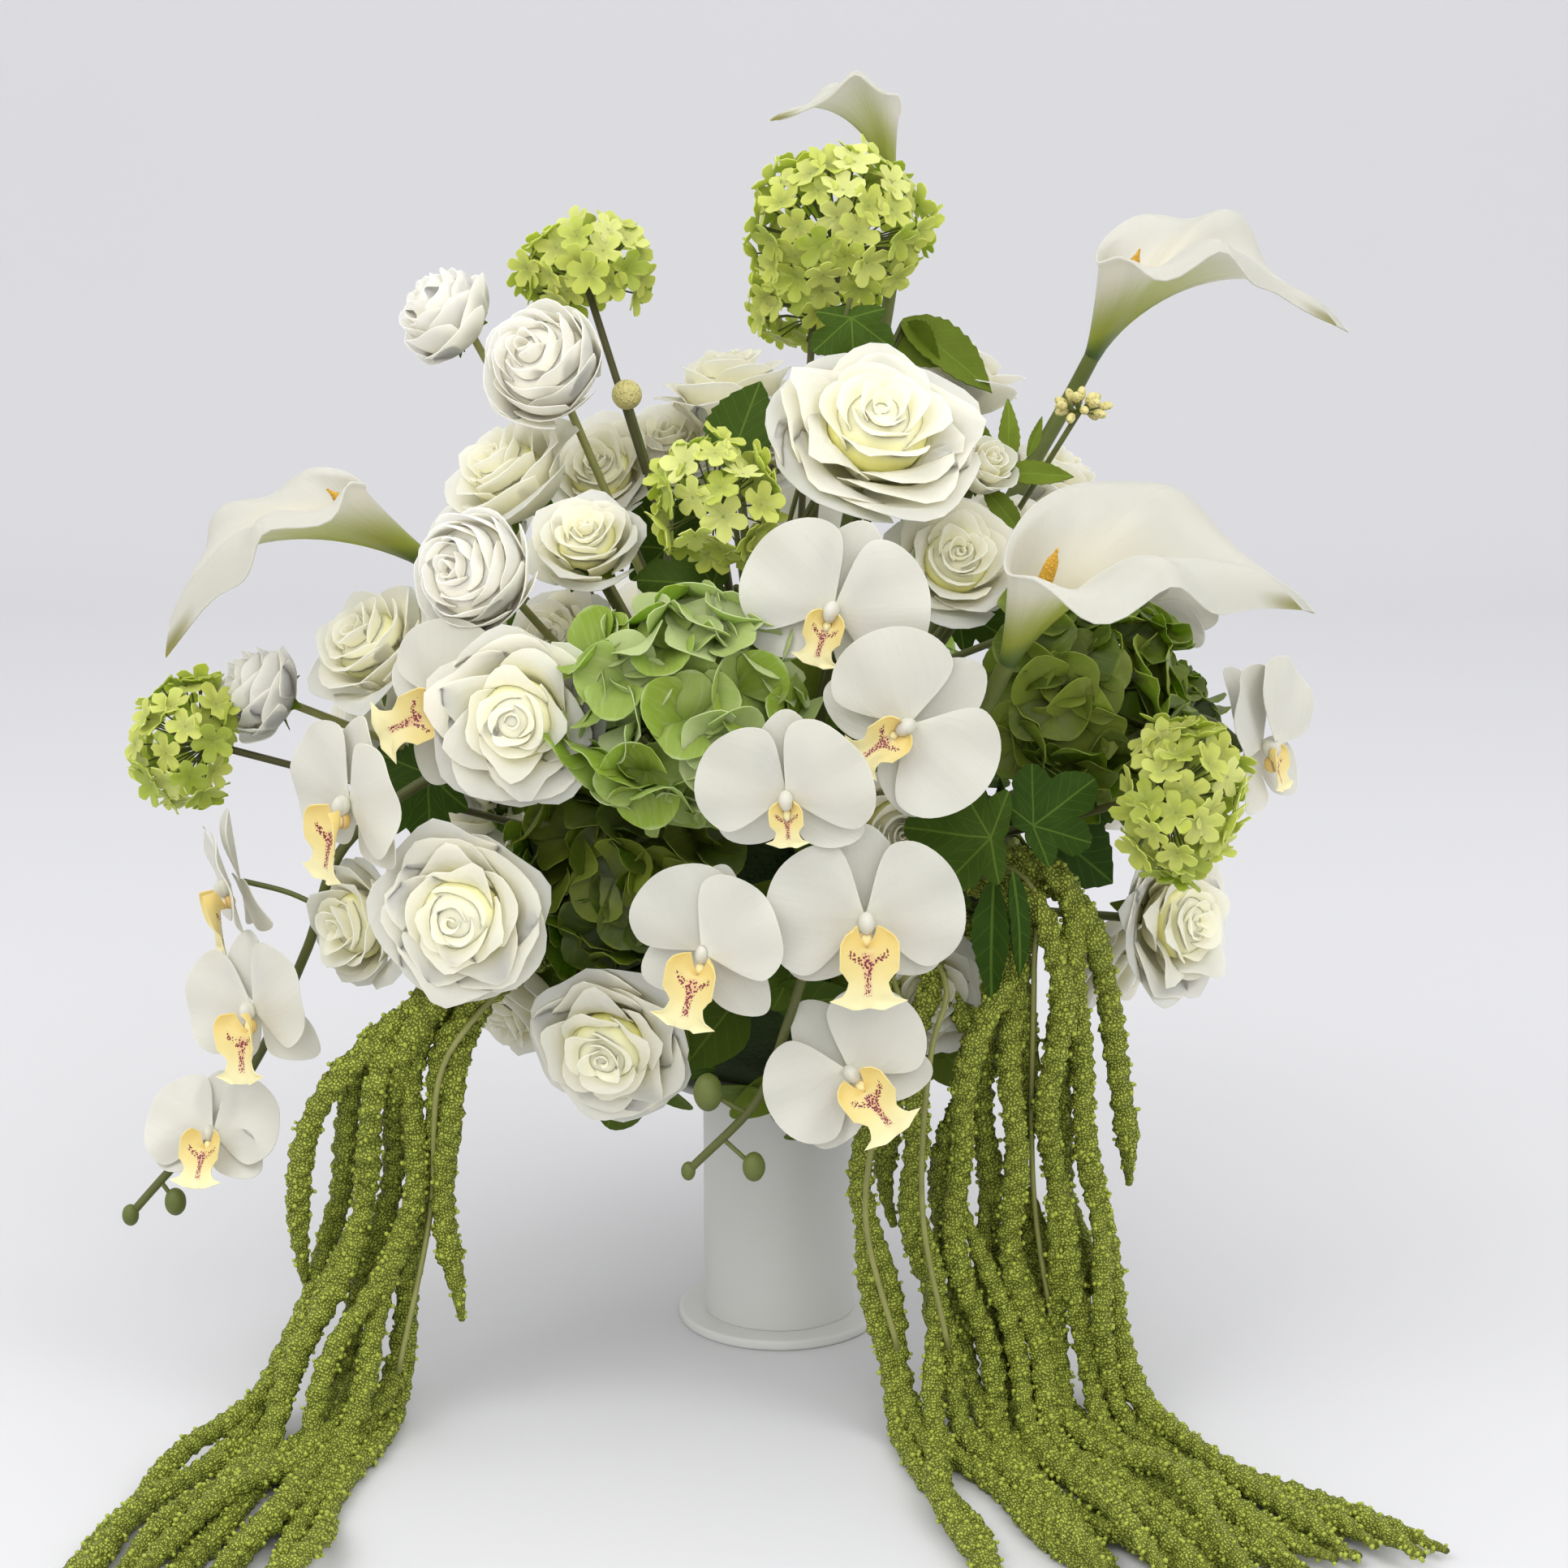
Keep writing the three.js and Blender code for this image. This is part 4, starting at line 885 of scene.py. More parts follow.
def cup_material(name, lip, heart, reach):
    """Petals that fade from a tinted foot to a pale lip, and more tinted towards the middle of the bloom. The tinting
    is partly the bloom's own warm heart and partly painted warm shade in the creases between the petals.
    """
    material, nodes, shader = new_material(name)
    _, v = nodes.pattern()
    tone = nodes.tone()
    fibre, vein = fibre_of(nodes, 26.0, 1.4)
    weave, mottle = grain_of(nodes, 1.0)
    foot = nodes.between(v, reach, 0.0)
    # Tinting towards the heart colour at the foot and in the inner whorls: partly the flower's own colour, partly
    # painted warm shade in the creases.
    foot_tint_and_crease_shade = nodes.times(foot, nodes.math("MULTIPLY_ADD", tone, 0.3, 0.7))
    heart_tint_and_crease_shade = nodes.math("MULTIPLY_ADD", nodes.times(tone, tone), 0.3, foot_tint_and_crease_shade, clamp=True)
    blend = nodes.mix(heart_tint_and_crease_shade, lip, heart)
    veined = nodes.touch(vein, 0.10, blend, nodes.shade(blend, 0.9))
    mottled = nodes.touch(mottle, 0.06, veined, heart)
    height = nodes.math("MULTIPLY_ADD", fibre, 0.6, weave)
    roughness = nodes.between(fibre, 0.0, 1.0, 0.5, 0.68)
    finish_shader(nodes, shader, mottled, roughness, height, 0.12, **PETAL_GLOW)
    return material


def rose_material():
    """Cream petals with a lime heart; the heart colour is also painted warm shade in the creases."""
    return cup_material("Rose Petal", tuple(colours().rose_white), tuple(colours().rose_heart_and_crease_shade), 1.05)


def ranunculus_material():
    """Whiter petals with a cream foot, whose colour is also painted warm shade in the creases."""
    # The cream foot colour is partly the flower's own and partly painted warm shade in the creases.
    return cup_material("Ranunculus Petal", tuple(colours().ranunculus_white), srgb(250, 242, 206), 0.9)


def spathe_material():
    """White with faint ribs. The outside turns olive towards the stem, and the throat is cream."""
    material, nodes, shader = new_material("Calla Spathe")
    u, v = nodes.pattern()
    fibre, _ = fibre_of(nodes, 70.0, 0.8)
    weave, _ = grain_of(nodes, 0.6)
    white = tuple(colours().spathe_white)
    green = tuple(colours().spathe_green)
    ribs = nodes.math("MULTIPLY_ADD", fibre, 0.14, -0.07)
    foot = nodes.between(nodes.math("ADD", v, ribs), 0.82, 0.18)
    throat = nodes.mix(nodes.between(v, 0.7, 0.2, 0.0, 0.5), white, srgb(240, 228, 186))
    outside = nodes.mix(foot, white, green)
    stalk = nodes.mix(nodes.between(v, 0.2, 0.0), outside, srgb(70, 92, 34))
    side = nodes.between(nodes.tone(), 0.4, 0.6)
    base = nodes.mix(side, throat, stalk)
    aside = nodes.off(u, 0.5)
    tip = nodes.times(nodes.between(aside, 0.47, 0.495), nodes.between(v, 0.93, 0.99))
    tipped = nodes.mix(tip, base, srgb(112, 108, 52))
    fine = nodes.times(weave, 0.3)
    height = nodes.math("MULTIPLY_ADD", fibre, 1.4, fine)
    finish_shader(nodes, shader, tipped, 0.42, height, 0.22, 0.0008, **PETAL_GLOW)
    return material


def spadix_material():
    """Orange yellow with small round grains, with painted shade in the gaps between them."""
    material, nodes, shader = new_material("Spadix Grain")
    bead = nodes.grains(620.0)
    yellow = tuple(colours().spadix_yellow)
    # Darker between the grains: painted shade in the gaps.
    base = nodes.mix(bead, nodes.shade(yellow, 0.62), yellow)
    finish_shader(nodes, shader, base, 0.6, bead, 0.6, 0.0008)
    return material


def orchid_material():
    """White with faint fibres, and a little green at the foot."""
    material, nodes, shader = new_material("Orchid Petal")
    fibre, vein = fibre_of(nodes, 16.0, 1.2)
    weave, _ = grain_of(nodes, 0.8)
    _, v = nodes.pattern()
    white = tuple(colours().orchid_white)
    foot = nodes.mix(nodes.between(v, 0.25, 0.0, 0.0, 0.35), white, srgb(236, 236, 206))
    base = nodes.touch(vein, 0.16, foot, nodes.shade(white, 0.88))
    fine = nodes.times(weave, 0.3)
    height = nodes.math("ADD", fibre, fine)
    finish_shader(nodes, shader, base, 0.46, height, 0.3, 0.0006, **THIN_GLOW)
    return material


def lip_material():
    """A pale yellow lip with magenta speckles: a stripe down its middle and an arm up each side lobe."""
    material, nodes, shader = new_material("Orchid Lip")
    u, v = nodes.pattern()
    yellow = tuple(colours().lip_yellow)
    pale = nodes.mix(nodes.between(v, 0.45, 0.95), yellow, srgb(238, 224, 164))
    warm = nodes.mix(nodes.between(v, 0.4, 0.05, 0.0, 0.4), pale, srgb(232, 186, 92))
    aside = nodes.off(u, 0.5)
    ends = nodes.times(nodes.between(v, 0.30, 0.38), nodes.between(v, 0.90, 0.78))
    stripe = nodes.times(nodes.between(aside, 0.13, 0.05), ends)
    off = nodes.math("ABSOLUTE", nodes.math("MULTIPLY_ADD", aside, 0.62, nodes.math("SUBTRACT", v, 0.50)))
    arm = nodes.times(nodes.between(off, 0.10, 0.02), nodes.between(aside, 0.36, 0.28))
    narrowed = nodes.times(u, 0.8)
    place = nodes.joined(narrowed, v, nodes.tone())
    cells = nodes.add("ShaderNodeTexVoronoi", {"Vector": place, "Scale": 30.0, "Randomness": 0.8})
    shown = nodes.math("MAXIMUM", stripe, arm)
    size = nodes.times(shown, 0.56)
    dot = nodes.between(nodes.math("SUBTRACT", cells.outputs["Distance"], size), 0.04, -0.12)
    speckle = tuple(colours().lip_speckle)
    washed = nodes.touch(stripe, 0.35, warm, srgb(206, 118, 120))
    base = nodes.mix(nodes.times(dot, nodes.between(shown, 0.0, 0.3)), washed, speckle)
    weave, _ = grain_of(nodes, 0.8)
    finish_shader(nodes, shader, base, 0.45, weave, 0.08, **THIN_GLOW)
    return material


def floret_material():
    """Lime florets, paler at the rim, each a little different at random, with painted light on those at the crown of a
    head and painted shade on those round its sides.
    """
    material, nodes, shader = new_material("Snowball Floret")
    _, v = nodes.pattern()
    lime = tuple(colours().viburnum_lime)
    weave, mottle = grain_of(nodes, 2.0)
    rim = nodes.mix(nodes.between(v, 0.3, 0.9), nodes.shade(lime, 0.66), lime)
    # A floret's tone is random and higher towards its head's crown: the lighter mix is partly random, partly painted
    # light, and the darker green partly random, partly painted shade.
    random_and_crown_light = nodes.mix(nodes.between(nodes.tone(), 0.2, 1.0, 0.0, 0.75), rim, srgb(212, 220, 136))
    random_and_side_shade = nodes.mix(nodes.between(nodes.tone(), 0.25, 0.0, 0.0, 0.7), random_and_crown_light, srgb(124, 142, 36))
    heart = nodes.mix(nodes.between(v, 0.2, 0.0, 0.0, 0.8), random_and_side_shade, srgb(110, 128, 52))
    base = nodes.touch(mottle, 0.12, heart, srgb(214, 226, 150))
    finish_shader(nodes, shader, base, 0.5, weave, 0.1, **GREEN_GLOW)
    return material


def hydrangea_material(name, main, shadow, light):
    """Broad petals with faint veins: the hue drifts from petal to petal and towards the foot."""
    material, nodes, shader = new_material(name)
    _, v = nodes.pattern()
    tone = nodes.tone()
    fibre, vein = fibre_of(nodes, 12.0, 1.5)
    _, mottle = grain_of(nodes, 1.0)
    drift = nodes.mix(nodes.between(tone, 0.15, 0.95), shadow, light)
    body = nodes.mix(0.72, main, drift)
    foot = nodes.mix(nodes.between(v, 0.5, 0.0, 0.0, 0.6), body, nodes.shade(shadow, 0.8))
    veined = nodes.touch(vein, 0.22, foot, light)
    edge = nodes.mix(nodes.between(v, 0.9, 1.0, 0.0, 0.5), veined, light)
    height = nodes.math("ADD", fibre, mottle)
    finish_shader(nodes, shader, edge, 0.48, height, 0.18, 0.0006, **GREEN_GLOW)
    return material


def leaf_material():
    """Dark green with pale veins: one down each lobe, and finer ones that branch from it."""
    material, nodes, shader = new_material("Leaf")
    aside, reach = nodes.pattern()
    green = tuple(colours().leaf_green)
    weave, mottle = grain_of(nodes, 1.5)
    off = nodes.math("ABSOLUTE", aside)
    rib = nodes.between(off, 0.016, 0.006)
    bent = nodes.math("MULTIPLY_ADD", nodes.noise(nodes.place(), 60.0), 0.12, reach)
    branch = nodes.math("FRACT", nodes.times(nodes.math("MULTIPLY_ADD", off, -1.1, bent), 6.0))
    fine = nodes.between(nodes.off(branch, 0.5), 0.05, 0.01, 0.0, 0.5)
    veins = nodes.math("MAXIMUM", rib, fine)
    light = nodes.mix(nodes.tone(), green, srgb(104, 120, 38))
    mottled = nodes.touch(mottle, 0.3, light, nodes.shade(light, 0.6))
    base = nodes.touch(veins, 0.3, mottled, srgb(122, 150, 60))
    height = nodes.math("MULTIPLY_ADD", veins, -1.0, weave)
    finish_shader(nodes, shader, base, 0.62, height, 0.3, 0.0006, **{"Specular IOR Level": 0.12})
    return material


def mottled_stem(name, green):
    """A stem's green, mottled, and browner where its tone is higher."""
    material, nodes, shader = new_material(name)
    weave, mottle = grain_of(nodes, 1.0)
    toned = nodes.mix(nodes.tone(), green, srgb(70, 60, 30))
    base = nodes.touch(mottle, 0.5, toned, nodes.shade(toned, 0.6))
    finish_shader(nodes, shader, base, 0.55, weave, 0.3)
    return material


def stem_material():
    """The green of most stems."""
    return mottled_stem("Stem", tuple(colours().stem_green))


def bare_stem_material():
    """The paler green of the stems that show."""
    return mottled_stem("Bare Stem", tuple(colours().bare_stem))


def amaranthus_material():
    """Packed round beads with a painted highlight on top and painted shade between them, painted light on the rope's
    knobs and painted shade in its hollows, in a green that drifts along the rope.
    """
    material, nodes, shader = new_material("Amaranthus Bead")
    u, v = nodes.pattern()
    spot = nodes.joined(u, v)
    values = {"Vector": spot, "Scale": 1.0, "Randomness": 0.7}
    cells = nodes.add("ShaderNodeTexVoronoi", values, voronoi_dimensions="2D")
    tone = nodes.tone()
    # Bead middles get a painted highlight and the gaps between beads painted shade.
    packed = nodes.between(cells.outputs["Distance"], 0.15, 0.6, 1.0, 0.0)
    bead = nodes.math("MAXIMUM", packed, nodes.between(tone, -0.02, -0.08))
    drift = nodes.between(nodes.noise(nodes.place(), 26.0, 2.0), 0.35, 0.65)
    green = tuple(colours().amaranthus_green)
    # The tone, high on the rope's knobs and low in its hollows, paints light on the knobs and shade in the hollows.
    body = nodes.mix(nodes.between(tone, 0.0, 1.0), nodes.shade(green, 0.5), srgb(182, 196, 74))
    drifted = nodes.touch(drift, 0.3, body, nodes.shade(green, 0.6))
    lit = nodes.mix(0.5, drifted, srgb(198, 210, 96))
    base = nodes.mix(bead, nodes.shade(drifted, 0.42), lit)
    finish_shader(nodes, shader, base, 0.6, bead, 1.0, 0.0012, **{"Specular IOR Level": 0.25})
    return material


def berry_material():
    """Pale yellow with small round grains, with painted shade in the gaps between them."""
    material, nodes, shader = new_material("Berry")
    yellow = tuple(colours().berry_yellow)
    bead = nodes.grains(500.0)
    # Darker between the grains: painted shade in the gaps.
    base = nodes.mix(bead, nodes.shade(yellow, 0.78), yellow)
    finish_shader(nodes, shader, base, 0.5, bead, 0.8, 0.0012)
    return material


def paint_material():
    """Satin white paint, a little uneven."""
    material, nodes, shader = new_material("Stand Paint")
    weave, mottle = grain_of(nodes, 0.4)
    white = tuple(colours().stand_white)
    base = nodes.touch(mottle, 0.04, white, nodes.shade(white, 0.93))
    roughness = nodes.between(mottle, 0.0, 1.0, 0.4, 0.5)
    finish_shader(nodes, shader, base, roughness, weave, 0.05)
    return material


def foam_material():
    """Dark green foam with open pits."""
    material, nodes, shader = new_material("Foam")
    place = nodes.place()
    cells = nodes.add("ShaderNodeTexVoronoi", {"Vector": place, "Scale": 320.0})
    pit = nodes.between(cells.outputs["Distance"], 0.0, 0.6)
    base = nodes.mix(nodes.noise(place, 40.0), srgb(30, 44, 16), srgb(54, 70, 26))
    finish_shader(nodes, shader, base, 0.9, pit, 0.7, 0.001)
    return material


def floor_material():
    """Pale matt card with painted light: lighter up the backdrop."""
    material, nodes, shader = new_material("Floor")
    place = nodes.place()
    pale = tuple(colours().floor_pale)
    height = nodes.add("ShaderNodeSeparateXYZ", {0: place}).outputs[2]
    # Painted light: the backdrop is drawn lighter the higher it goes.
    painted_light_up_wall = nodes.mix(nodes.between(height, 0.4, 2.6), pale, srgb(238, 238, 240))
    base = nodes.mix(nodes.noise(place, 3.0), painted_light_up_wall, nodes.shade(painted_light_up_wall, 0.985))
    finish_shader(nodes, shader, base, 0.7, nodes.noise(place, 700.0), 0.02)
    return material


# Blooms


def cup_petal(whorl, turn, rng, across, along):
    """One petal of a cup-shaped bloom one unit in radius, wrapped round the bloom's axis."""
    s, t, faces = flat_sheet(across, along)
    jitter = rng.uniform(-1, 1, 6)
    point = whorl["point"] * (1 + 0.7 * jitter[0])
    outline = 1 - whorl["round"] * np.abs(s) ** 2.8 + point * np.exp(-(((s - 0.3 * jitter[1]) / 0.26) ** 2))
    outline += whorl["ruffle"] * 0.5 * np.sin(7 * s + 9 * jitter[2])
    v = t * outline
    lip_radius = whorl["lip"][0] * (1 + 0.07 * jitter[3])
    lip_height = whorl["lip"][1] + 0.06 * jitter[4]
    radius = whorl["foot"][0] + (lip_radius - whorl["foot"][0]) * v ** whorl["bowl"][0]
    height = whorl["foot"][1] + (lip_height - whorl["foot"][1]) * v ** whorl["bowl"][1]
    over = np.clip((v - 0.74) / 0.26, 0, 1.5)
    radius += whorl["roll"] * over**1.5
    height -= whorl["roll"] * 0.9 * over**2.2
    edge = np.abs(s) ** 3 * v**1.5
    radius += whorl["curl"] * edge
    height -= whorl["curl"] * 0.7 * edge
    radius *= 1 + whorl["wrap"] * s
    wave = np.sin(whorl["waves"] * s + 6 * jitter[5]) * v**2.5
    radius += whorl["ruffle"] * wave
    height += whorl["ruffle"] * 0.8 * np.sin(whorl["waves"] * s + 9 * jitter[0]) * v**3
    width = 0.42 + 0.58 * np.sin(np.clip(v / 0.7, 0, 1) * math.pi / 2)
    angle = turn + s * whorl["spread"] * width
    points = np.column_stack([radius * np.cos(angle), radius * np.sin(angle), height])
    return Surface(points, faces, np.column_stack([(s + 1) / 2, np.clip(t, 0, 1)]))


def whorl(count, lip, foot, spread, bowl=(0.75, 1.5), roll=0.05, curl=0.05, wrap=0.07, **more):
    """How one ring of petals is shaped, by the bloom's radius. lip and foot are how far out and how high a petal ends
    and begins, spread is half its width round the bloom and bowl how it swells in between. roll and curl are how far
    its lip and its sides turn back, and wrap is how far it winds inwards."""
    rim = {"round": 0.2, "point": 0.08, "ruffle": 0.02, "waves": 4.0}
    shape = {"count": count, "lip": lip, "foot": foot, "spread": spread, "bowl": bowl}
    return {**shape, "roll": roll, "curl": curl, "wrap": wrap, **rim, **more}


# The heart of a bloom: how wide and how high it is by the bloom's radius, and its tone.
# The tone tints the plug towards the heart colour: partly the bloom's own, partly painted warm shade far inside the
# bloom.
ROSE_PLUG = (0.5, 0.32, 0.8)
RANUNCULUS_PLUG = (0.76, 0.64, 0.4)

OPEN_ROSE = [
    whorl(5, (0.95, -0.02), (0.12, -0.60), 1.02, (0.68, 1.5), 0.12, 0.10, ruffle=0.045, waves=3.4, point=0.06),
    whorl(
        5, (0.80, 0.10), (0.12, -0.56), 0.98, (0.60, 1.6), 0.14, 0.10,
        ruffle=0.045, waves=3.6, point=0.07, round=0.22,
    ),
    whorl(
        5, (0.63, 0.22), (0.11, -0.48), 0.86, (0.52, 1.5), 0.15, 0.09, 0.09,
        ruffle=0.045, waves=3.8, point=0.1, round=0.26,
    ),
    whorl(4, (0.47, 0.32), (0.10, -0.42), 1.00, (0.48, 1.4), 0.12, 0.07, 0.10, ruffle=0.04, point=0.08),
    whorl(3, (0.33, 0.37), (0.08, -0.30), 1.22, (0.42, 1.2), 0.09, 0.05, 0.12, ruffle=0.03),
    whorl(3, (0.20, 0.39), (0.05, -0.20), 1.30, (0.42, 1.1), 0.05, 0.02, 0.14),
    whorl(1, (0.08, 0.37), (0.01, -0.10), 2.90, (0.4, 1.0), 0.02, 0.0, 0.35, point=0.0),
]
CUPPED_ROSE = [
    whorl(4, (0.88, 0.04), (0.14, -0.64), 0.95, (0.55, 1.4), 0.14, 0.08, ruffle=0.035, waves=3.2),
    whorl(4, (0.74, 0.22), (0.14, -0.60), 0.95, (0.48, 1.5), 0.12, 0.06, 0.09, ruffle=0.03, waves=3.4),
    whorl(4, (0.57, 0.36), (0.12, -0.50), 0.98, (0.45, 1.4), 0.10, 0.05, 0.10, ruffle=0.025),
    whorl(3, (0.41, 0.44), (0.10, -0.40), 1.20, (0.42, 1.3), 0.08, 0.04, 0.12, ruffle=0.02),
    whorl(3, (0.27, 0.47), (0.08, -0.30), 1.25, (0.42, 1.1), 0.05, 0.02, 0.14),
    whorl(2, (0.15, 0.47), (0.05, -0.20), 1.80, (0.4, 1.0), 0.02, 0.0, 0.2, point=0.03),
    whorl(1, (0.06, 0.44), (0.01, -0.10), 2.90, (0.4, 1.0), 0.0, 0.0, 0.30, point=0.0),
]
BUD = [
    whorl(4, (0.86, 0.30), (0.20, -0.70), 0.95, (0.42, 1.2), 0.06, 0.02, 0.08),
    whorl(4, (0.64, 0.50), (0.15, -0.60), 1.10, (0.42, 1.2), 0.04, 0.01, 0.10),
    whorl(3, (0.42, 0.60), (0.10, -0.40), 1.35, (0.4, 1.1), 0.02, 0.0, 0.14),
    whorl(2, (0.22, 0.62), (0.05, -0.30), 1.90, (0.4, 1.0), 0.0, 0.0, 0.20),
    whorl(1, (0.09, 0.60), (0.02, -0.30), 2.90, (0.4, 1.0), 0.0, 0.0, 0.30),
]
FULL_RANUNCULUS = [
    whorl(6, (1.00, 0.00), (0.14, -0.60), 0.92, (0.45, 1.5), 0.00, 0.06, ruffle=0.03, waves=3.6, point=0.0),
    whorl(6, (0.90, 0.34), (0.14, -0.55), 0.97, (0.36, 1.7), -0.05, 0.04, 0.1, ruffle=0.03, waves=3.8, point=0.0),
    whorl(6, (0.72, 0.58), (0.12, -0.45), 0.97, (0.34, 1.6), -0.06, 0.02, 0.12, ruffle=0.028, waves=3.8, point=0.0),
    whorl(5, (0.50, 0.72), (0.10, -0.30), 1.02, (0.34, 1.5), -0.05, 0.0, 0.14, ruffle=0.026, waves=4.0, point=0.0),
    whorl(3, (0.26, 0.80), (0.08, -0.20), 1.30, (0.36, 1.3), -0.04, 0.0, 0.16, ruffle=0.02, waves=4.0, point=0.0),
    whorl(2, (0.12, 0.80), (0.03, -0.10), 1.90, (0.4, 1.0), 0.0, 0.0, 0.2, ruffle=0.02, point=0.0),
]


def under_head(head, depth):
    """The place at a depth under the middle of a bloom, against the way it looks."""
    return np.asarray(head["at"], float) - unit(head["face"]) * depth


def cup_bloom(head, whorls, seed, across, along):
    """The petals of a rose or a ranunculus, as sheets."""
    rng = np.random.default_rng(seed)
    at = np.asarray(head["at"], float)
    turn = turn_to(head["face"], roll=rng.uniform(0, 2 * math.pi))
    sheets = []
    phase = rng.uniform(0, 2 * math.pi)
    for depth, ring in enumerate(whorls):
        phase += 2.4
        for k in range(ring["count"]):
            angle = phase + (k + 0.12 * rng.uniform(-1, 1)) / ring["count"] * 2 * math.pi
            petal = cup_petal(ring, angle, rng, across, along)
            # Inner whorls get a higher tone, which tints them towards the heart colour: partly the bloom's own, partly
            # painted warm shade far inside the bloom.
            tone = np.clip(depth / len(whorls) + 0.1 * rng.uniform(-1, 1), 0, 1)
            sheets.append(petal.like(petal.points * head["r"] @ turn.T + at, tone))
    return sheets


def blade(along, across, length, width, narrow, pointed, cup, droop, fold=0.0, tone=0.5, finish=0):
    """A rounded petal or leaf along +X, narrower at its foot, cupped across and drooping along."""
    x, y, faces = round_sheet(across, along)
    a = (x + 1) / 2
    taper = narrow + (1 - narrow) * np.sin(np.clip(a / 0.5, 0, 1) * math.pi / 2)
    taper *= 1 - pointed * np.clip((a - 0.45) / 0.55, 0, 1) ** 1.5
    side = y * taper
    height = cup * width * side**2 - droop * length * a**2 + fold * width * np.abs(side)
    points = np.column_stack([a * length, side * width, height])
    return Surface(points, faces, np.column_stack([(y + 1) / 2, a]), tone, finish)


def sepals(head, count, rng):
    """Green sepals that hang open behind a bloom."""
    r = head["r"]
    turn = turn_to(head["face"], roll=rng.uniform(0, 6))
    under = under_head(head, 0.5 * r)
    made = []
    for k in range(count):
        tone = rng.uniform(0.3, 1.0)
        green = blade(5, 3, 0.62 * r, 0.17 * r, 0.5, 0.75, 0.3, 0.25, tone=tone, finish=1)
        way = turn @ spin(k * 360 / count + 14 * rng.uniform(-1, 1)) @ tilt(rng.uniform(-35, 5))
        made.append(green.placed(way, under))
    return made


def calyx(head):
    """The green knob under a bloom."""
    r = head["r"]
    turn = turn_to(head["face"])
    return ball(under_head(head, 0.5 * r), (0.15 * r, 0.15 * r, 0.17 * r), turn, 0.2, 1)


def plug(head, wide, high, tone):
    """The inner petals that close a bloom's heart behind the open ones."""
    r = head["r"]
    radii = np.array([wide, wide, high]) * r
    return ball(under_head(head, 0.08 * r), radii, turn_to(head["face"]), tone, 0, 20, 12)


def stems_from(feet, radius, finish, tone=0.3):
    """The stems from each foot: the first runs into the core, and each other one joins it on its way."""
    first, others = feet[0], feet[1:]
    made = [tube(smooth_route([first, over_core(first, -STEM_DEPTH)], 12), radius, 8, tone, finish)]
    for i, foot in enumerate(others):
        route = smooth_route([foot, over_core(first, 12 + 10 * i)], 12)
        made.append(tube(route, radius * 0.9, 8, tone, finish))
    return made


def cup_foot(head):
    """Where the stem of a rose or a ranunculus begins."""
    return under_head(head, 0.62 * head["r"] - 1.5)


def hub_depth(head, squash):
    """How far under the middle of a mop its stalks meet."""
    return 0.36 * head["r"] * squash


# Florets


def disc_faces(around, rings):
    """The faces of a disc whose first point is its middle, followed by its rings."""
    k = np.arange(around) + 1
    j = np.roll(k, -1)
    steps = np.arange(rings) * around
    pairs = zip(steps[:-1], steps[1:])
    quads = [np.column_stack([low + k, high + k, high + j, low + j]) for low, high in pairs]
    return [fan_faces(0, k), np.vstack(quads)]


@functools.lru_cache(maxsize=None)
def lobed_disc(lobes, steps, rings, notch):
    """A flat disc with rounded lobes: its points, their share of the way out, its faces, and how far in a lobe each
    point is."""
    around = lobes * steps
    angle = np.arange(around) / around * 2 * math.pi
    lobe = np.abs(np.cos(angle * lobes / 2))
    rim = notch + (1 - notch) * lobe**0.55
    shares = np.linspace(0, 1, rings + 1)[1:]
    points = [np.zeros((1, 2))]
    reach = [np.zeros(1)]
    for share in shares:
        size = share * (rim * share + (1 - share) * notch)
        points.append(np.column_stack([np.cos(angle) * size, np.sin(angle) * size]))
        reach.append(np.full(around, share))
    lobe = np.concatenate([[0], np.tile(lobe, rings)])
    return np.vstack(points), np.concatenate(reach), disc_faces(around, rings), lobe


def floret(radius, rng, tone):
    """A cupped five-lobed floret that faces +Z."""
    flat, reach, faces, lobe = lobed_disc(5, 6, 2, 0.5)
    flat = flat * (1 + 0.05 * rng.uniform(-1, 1, (len(flat), 1)) * (reach > 0.9)[:, None])
    cup = rng.uniform(0.0, 0.45)
    height = cup * reach**2 * (0.5 + 0.5 * lobe) + 0.06 * rng.uniform(-1, 1, len(reach)) * reach
    return Surface(np.column_stack([flat, height]) * radius, faces, np.column_stack([lobe, reach]), tone)


def even_directions(count):
    """Directions spread evenly over a ball."""
    k = np.arange(count) + 0.5
    z = 1 - 2 * k / count
    angle = k * math.pi * (3 - math.sqrt(5))
    ring = np.sqrt(1 - z * z)
    return np.column_stack([ring * np.cos(angle), ring * np.sin(angle), z])


def snowball(head, seed):
    """A ball of florets on thin stalks. It is open underneath, where the stem comes in."""
    rng = np.random.default_rng(seed)
    r, squash = head["r"], head["squash"]
    turn = turn_to(head["face"], roll=seed)
    at = np.asarray(head["at"], float)
    size = sizes().floret_radius * (0.86 + 0.14 * r / 50)
    count = int(4.5 * (r / size) ** 2)
    hub = under_head(head, hub_depth(head, squash))
    sheets, stalks = [], []
    for way in even_directions(count):
        if way[2] < OPEN_BELOW:
            continue
        way = unit(way + 0.12 * rng.uniform(-1, 1, 3))
        reach = (r - 0.35 * size) * rng.uniform(0.84, 1.0)
        place = at + turn @ (way * (1, 1, squash) * reach)
        facing = unit(turn @ way + 0.45 * rng.uniform(-1, 1, 3))
        # The floret's tone is random, scaled down away from the head's crown: painted shade on the florets round its
        # sides.
        flower = floret(size * rng.uniform(0.85, 1.1), rng, rng.uniform(0, 1) * (0.5 + 0.5 * max(way[2], 0)))
        sheets.append(flower.placed(turn_to(facing, roll=rng.uniform(0, 6)), place))
        stalks.append(tube([hub, (hub + place) / 2 + turn[:, 2] * 2, place], 0.5, 4, 0.2, 1))
    return sheets, stalks


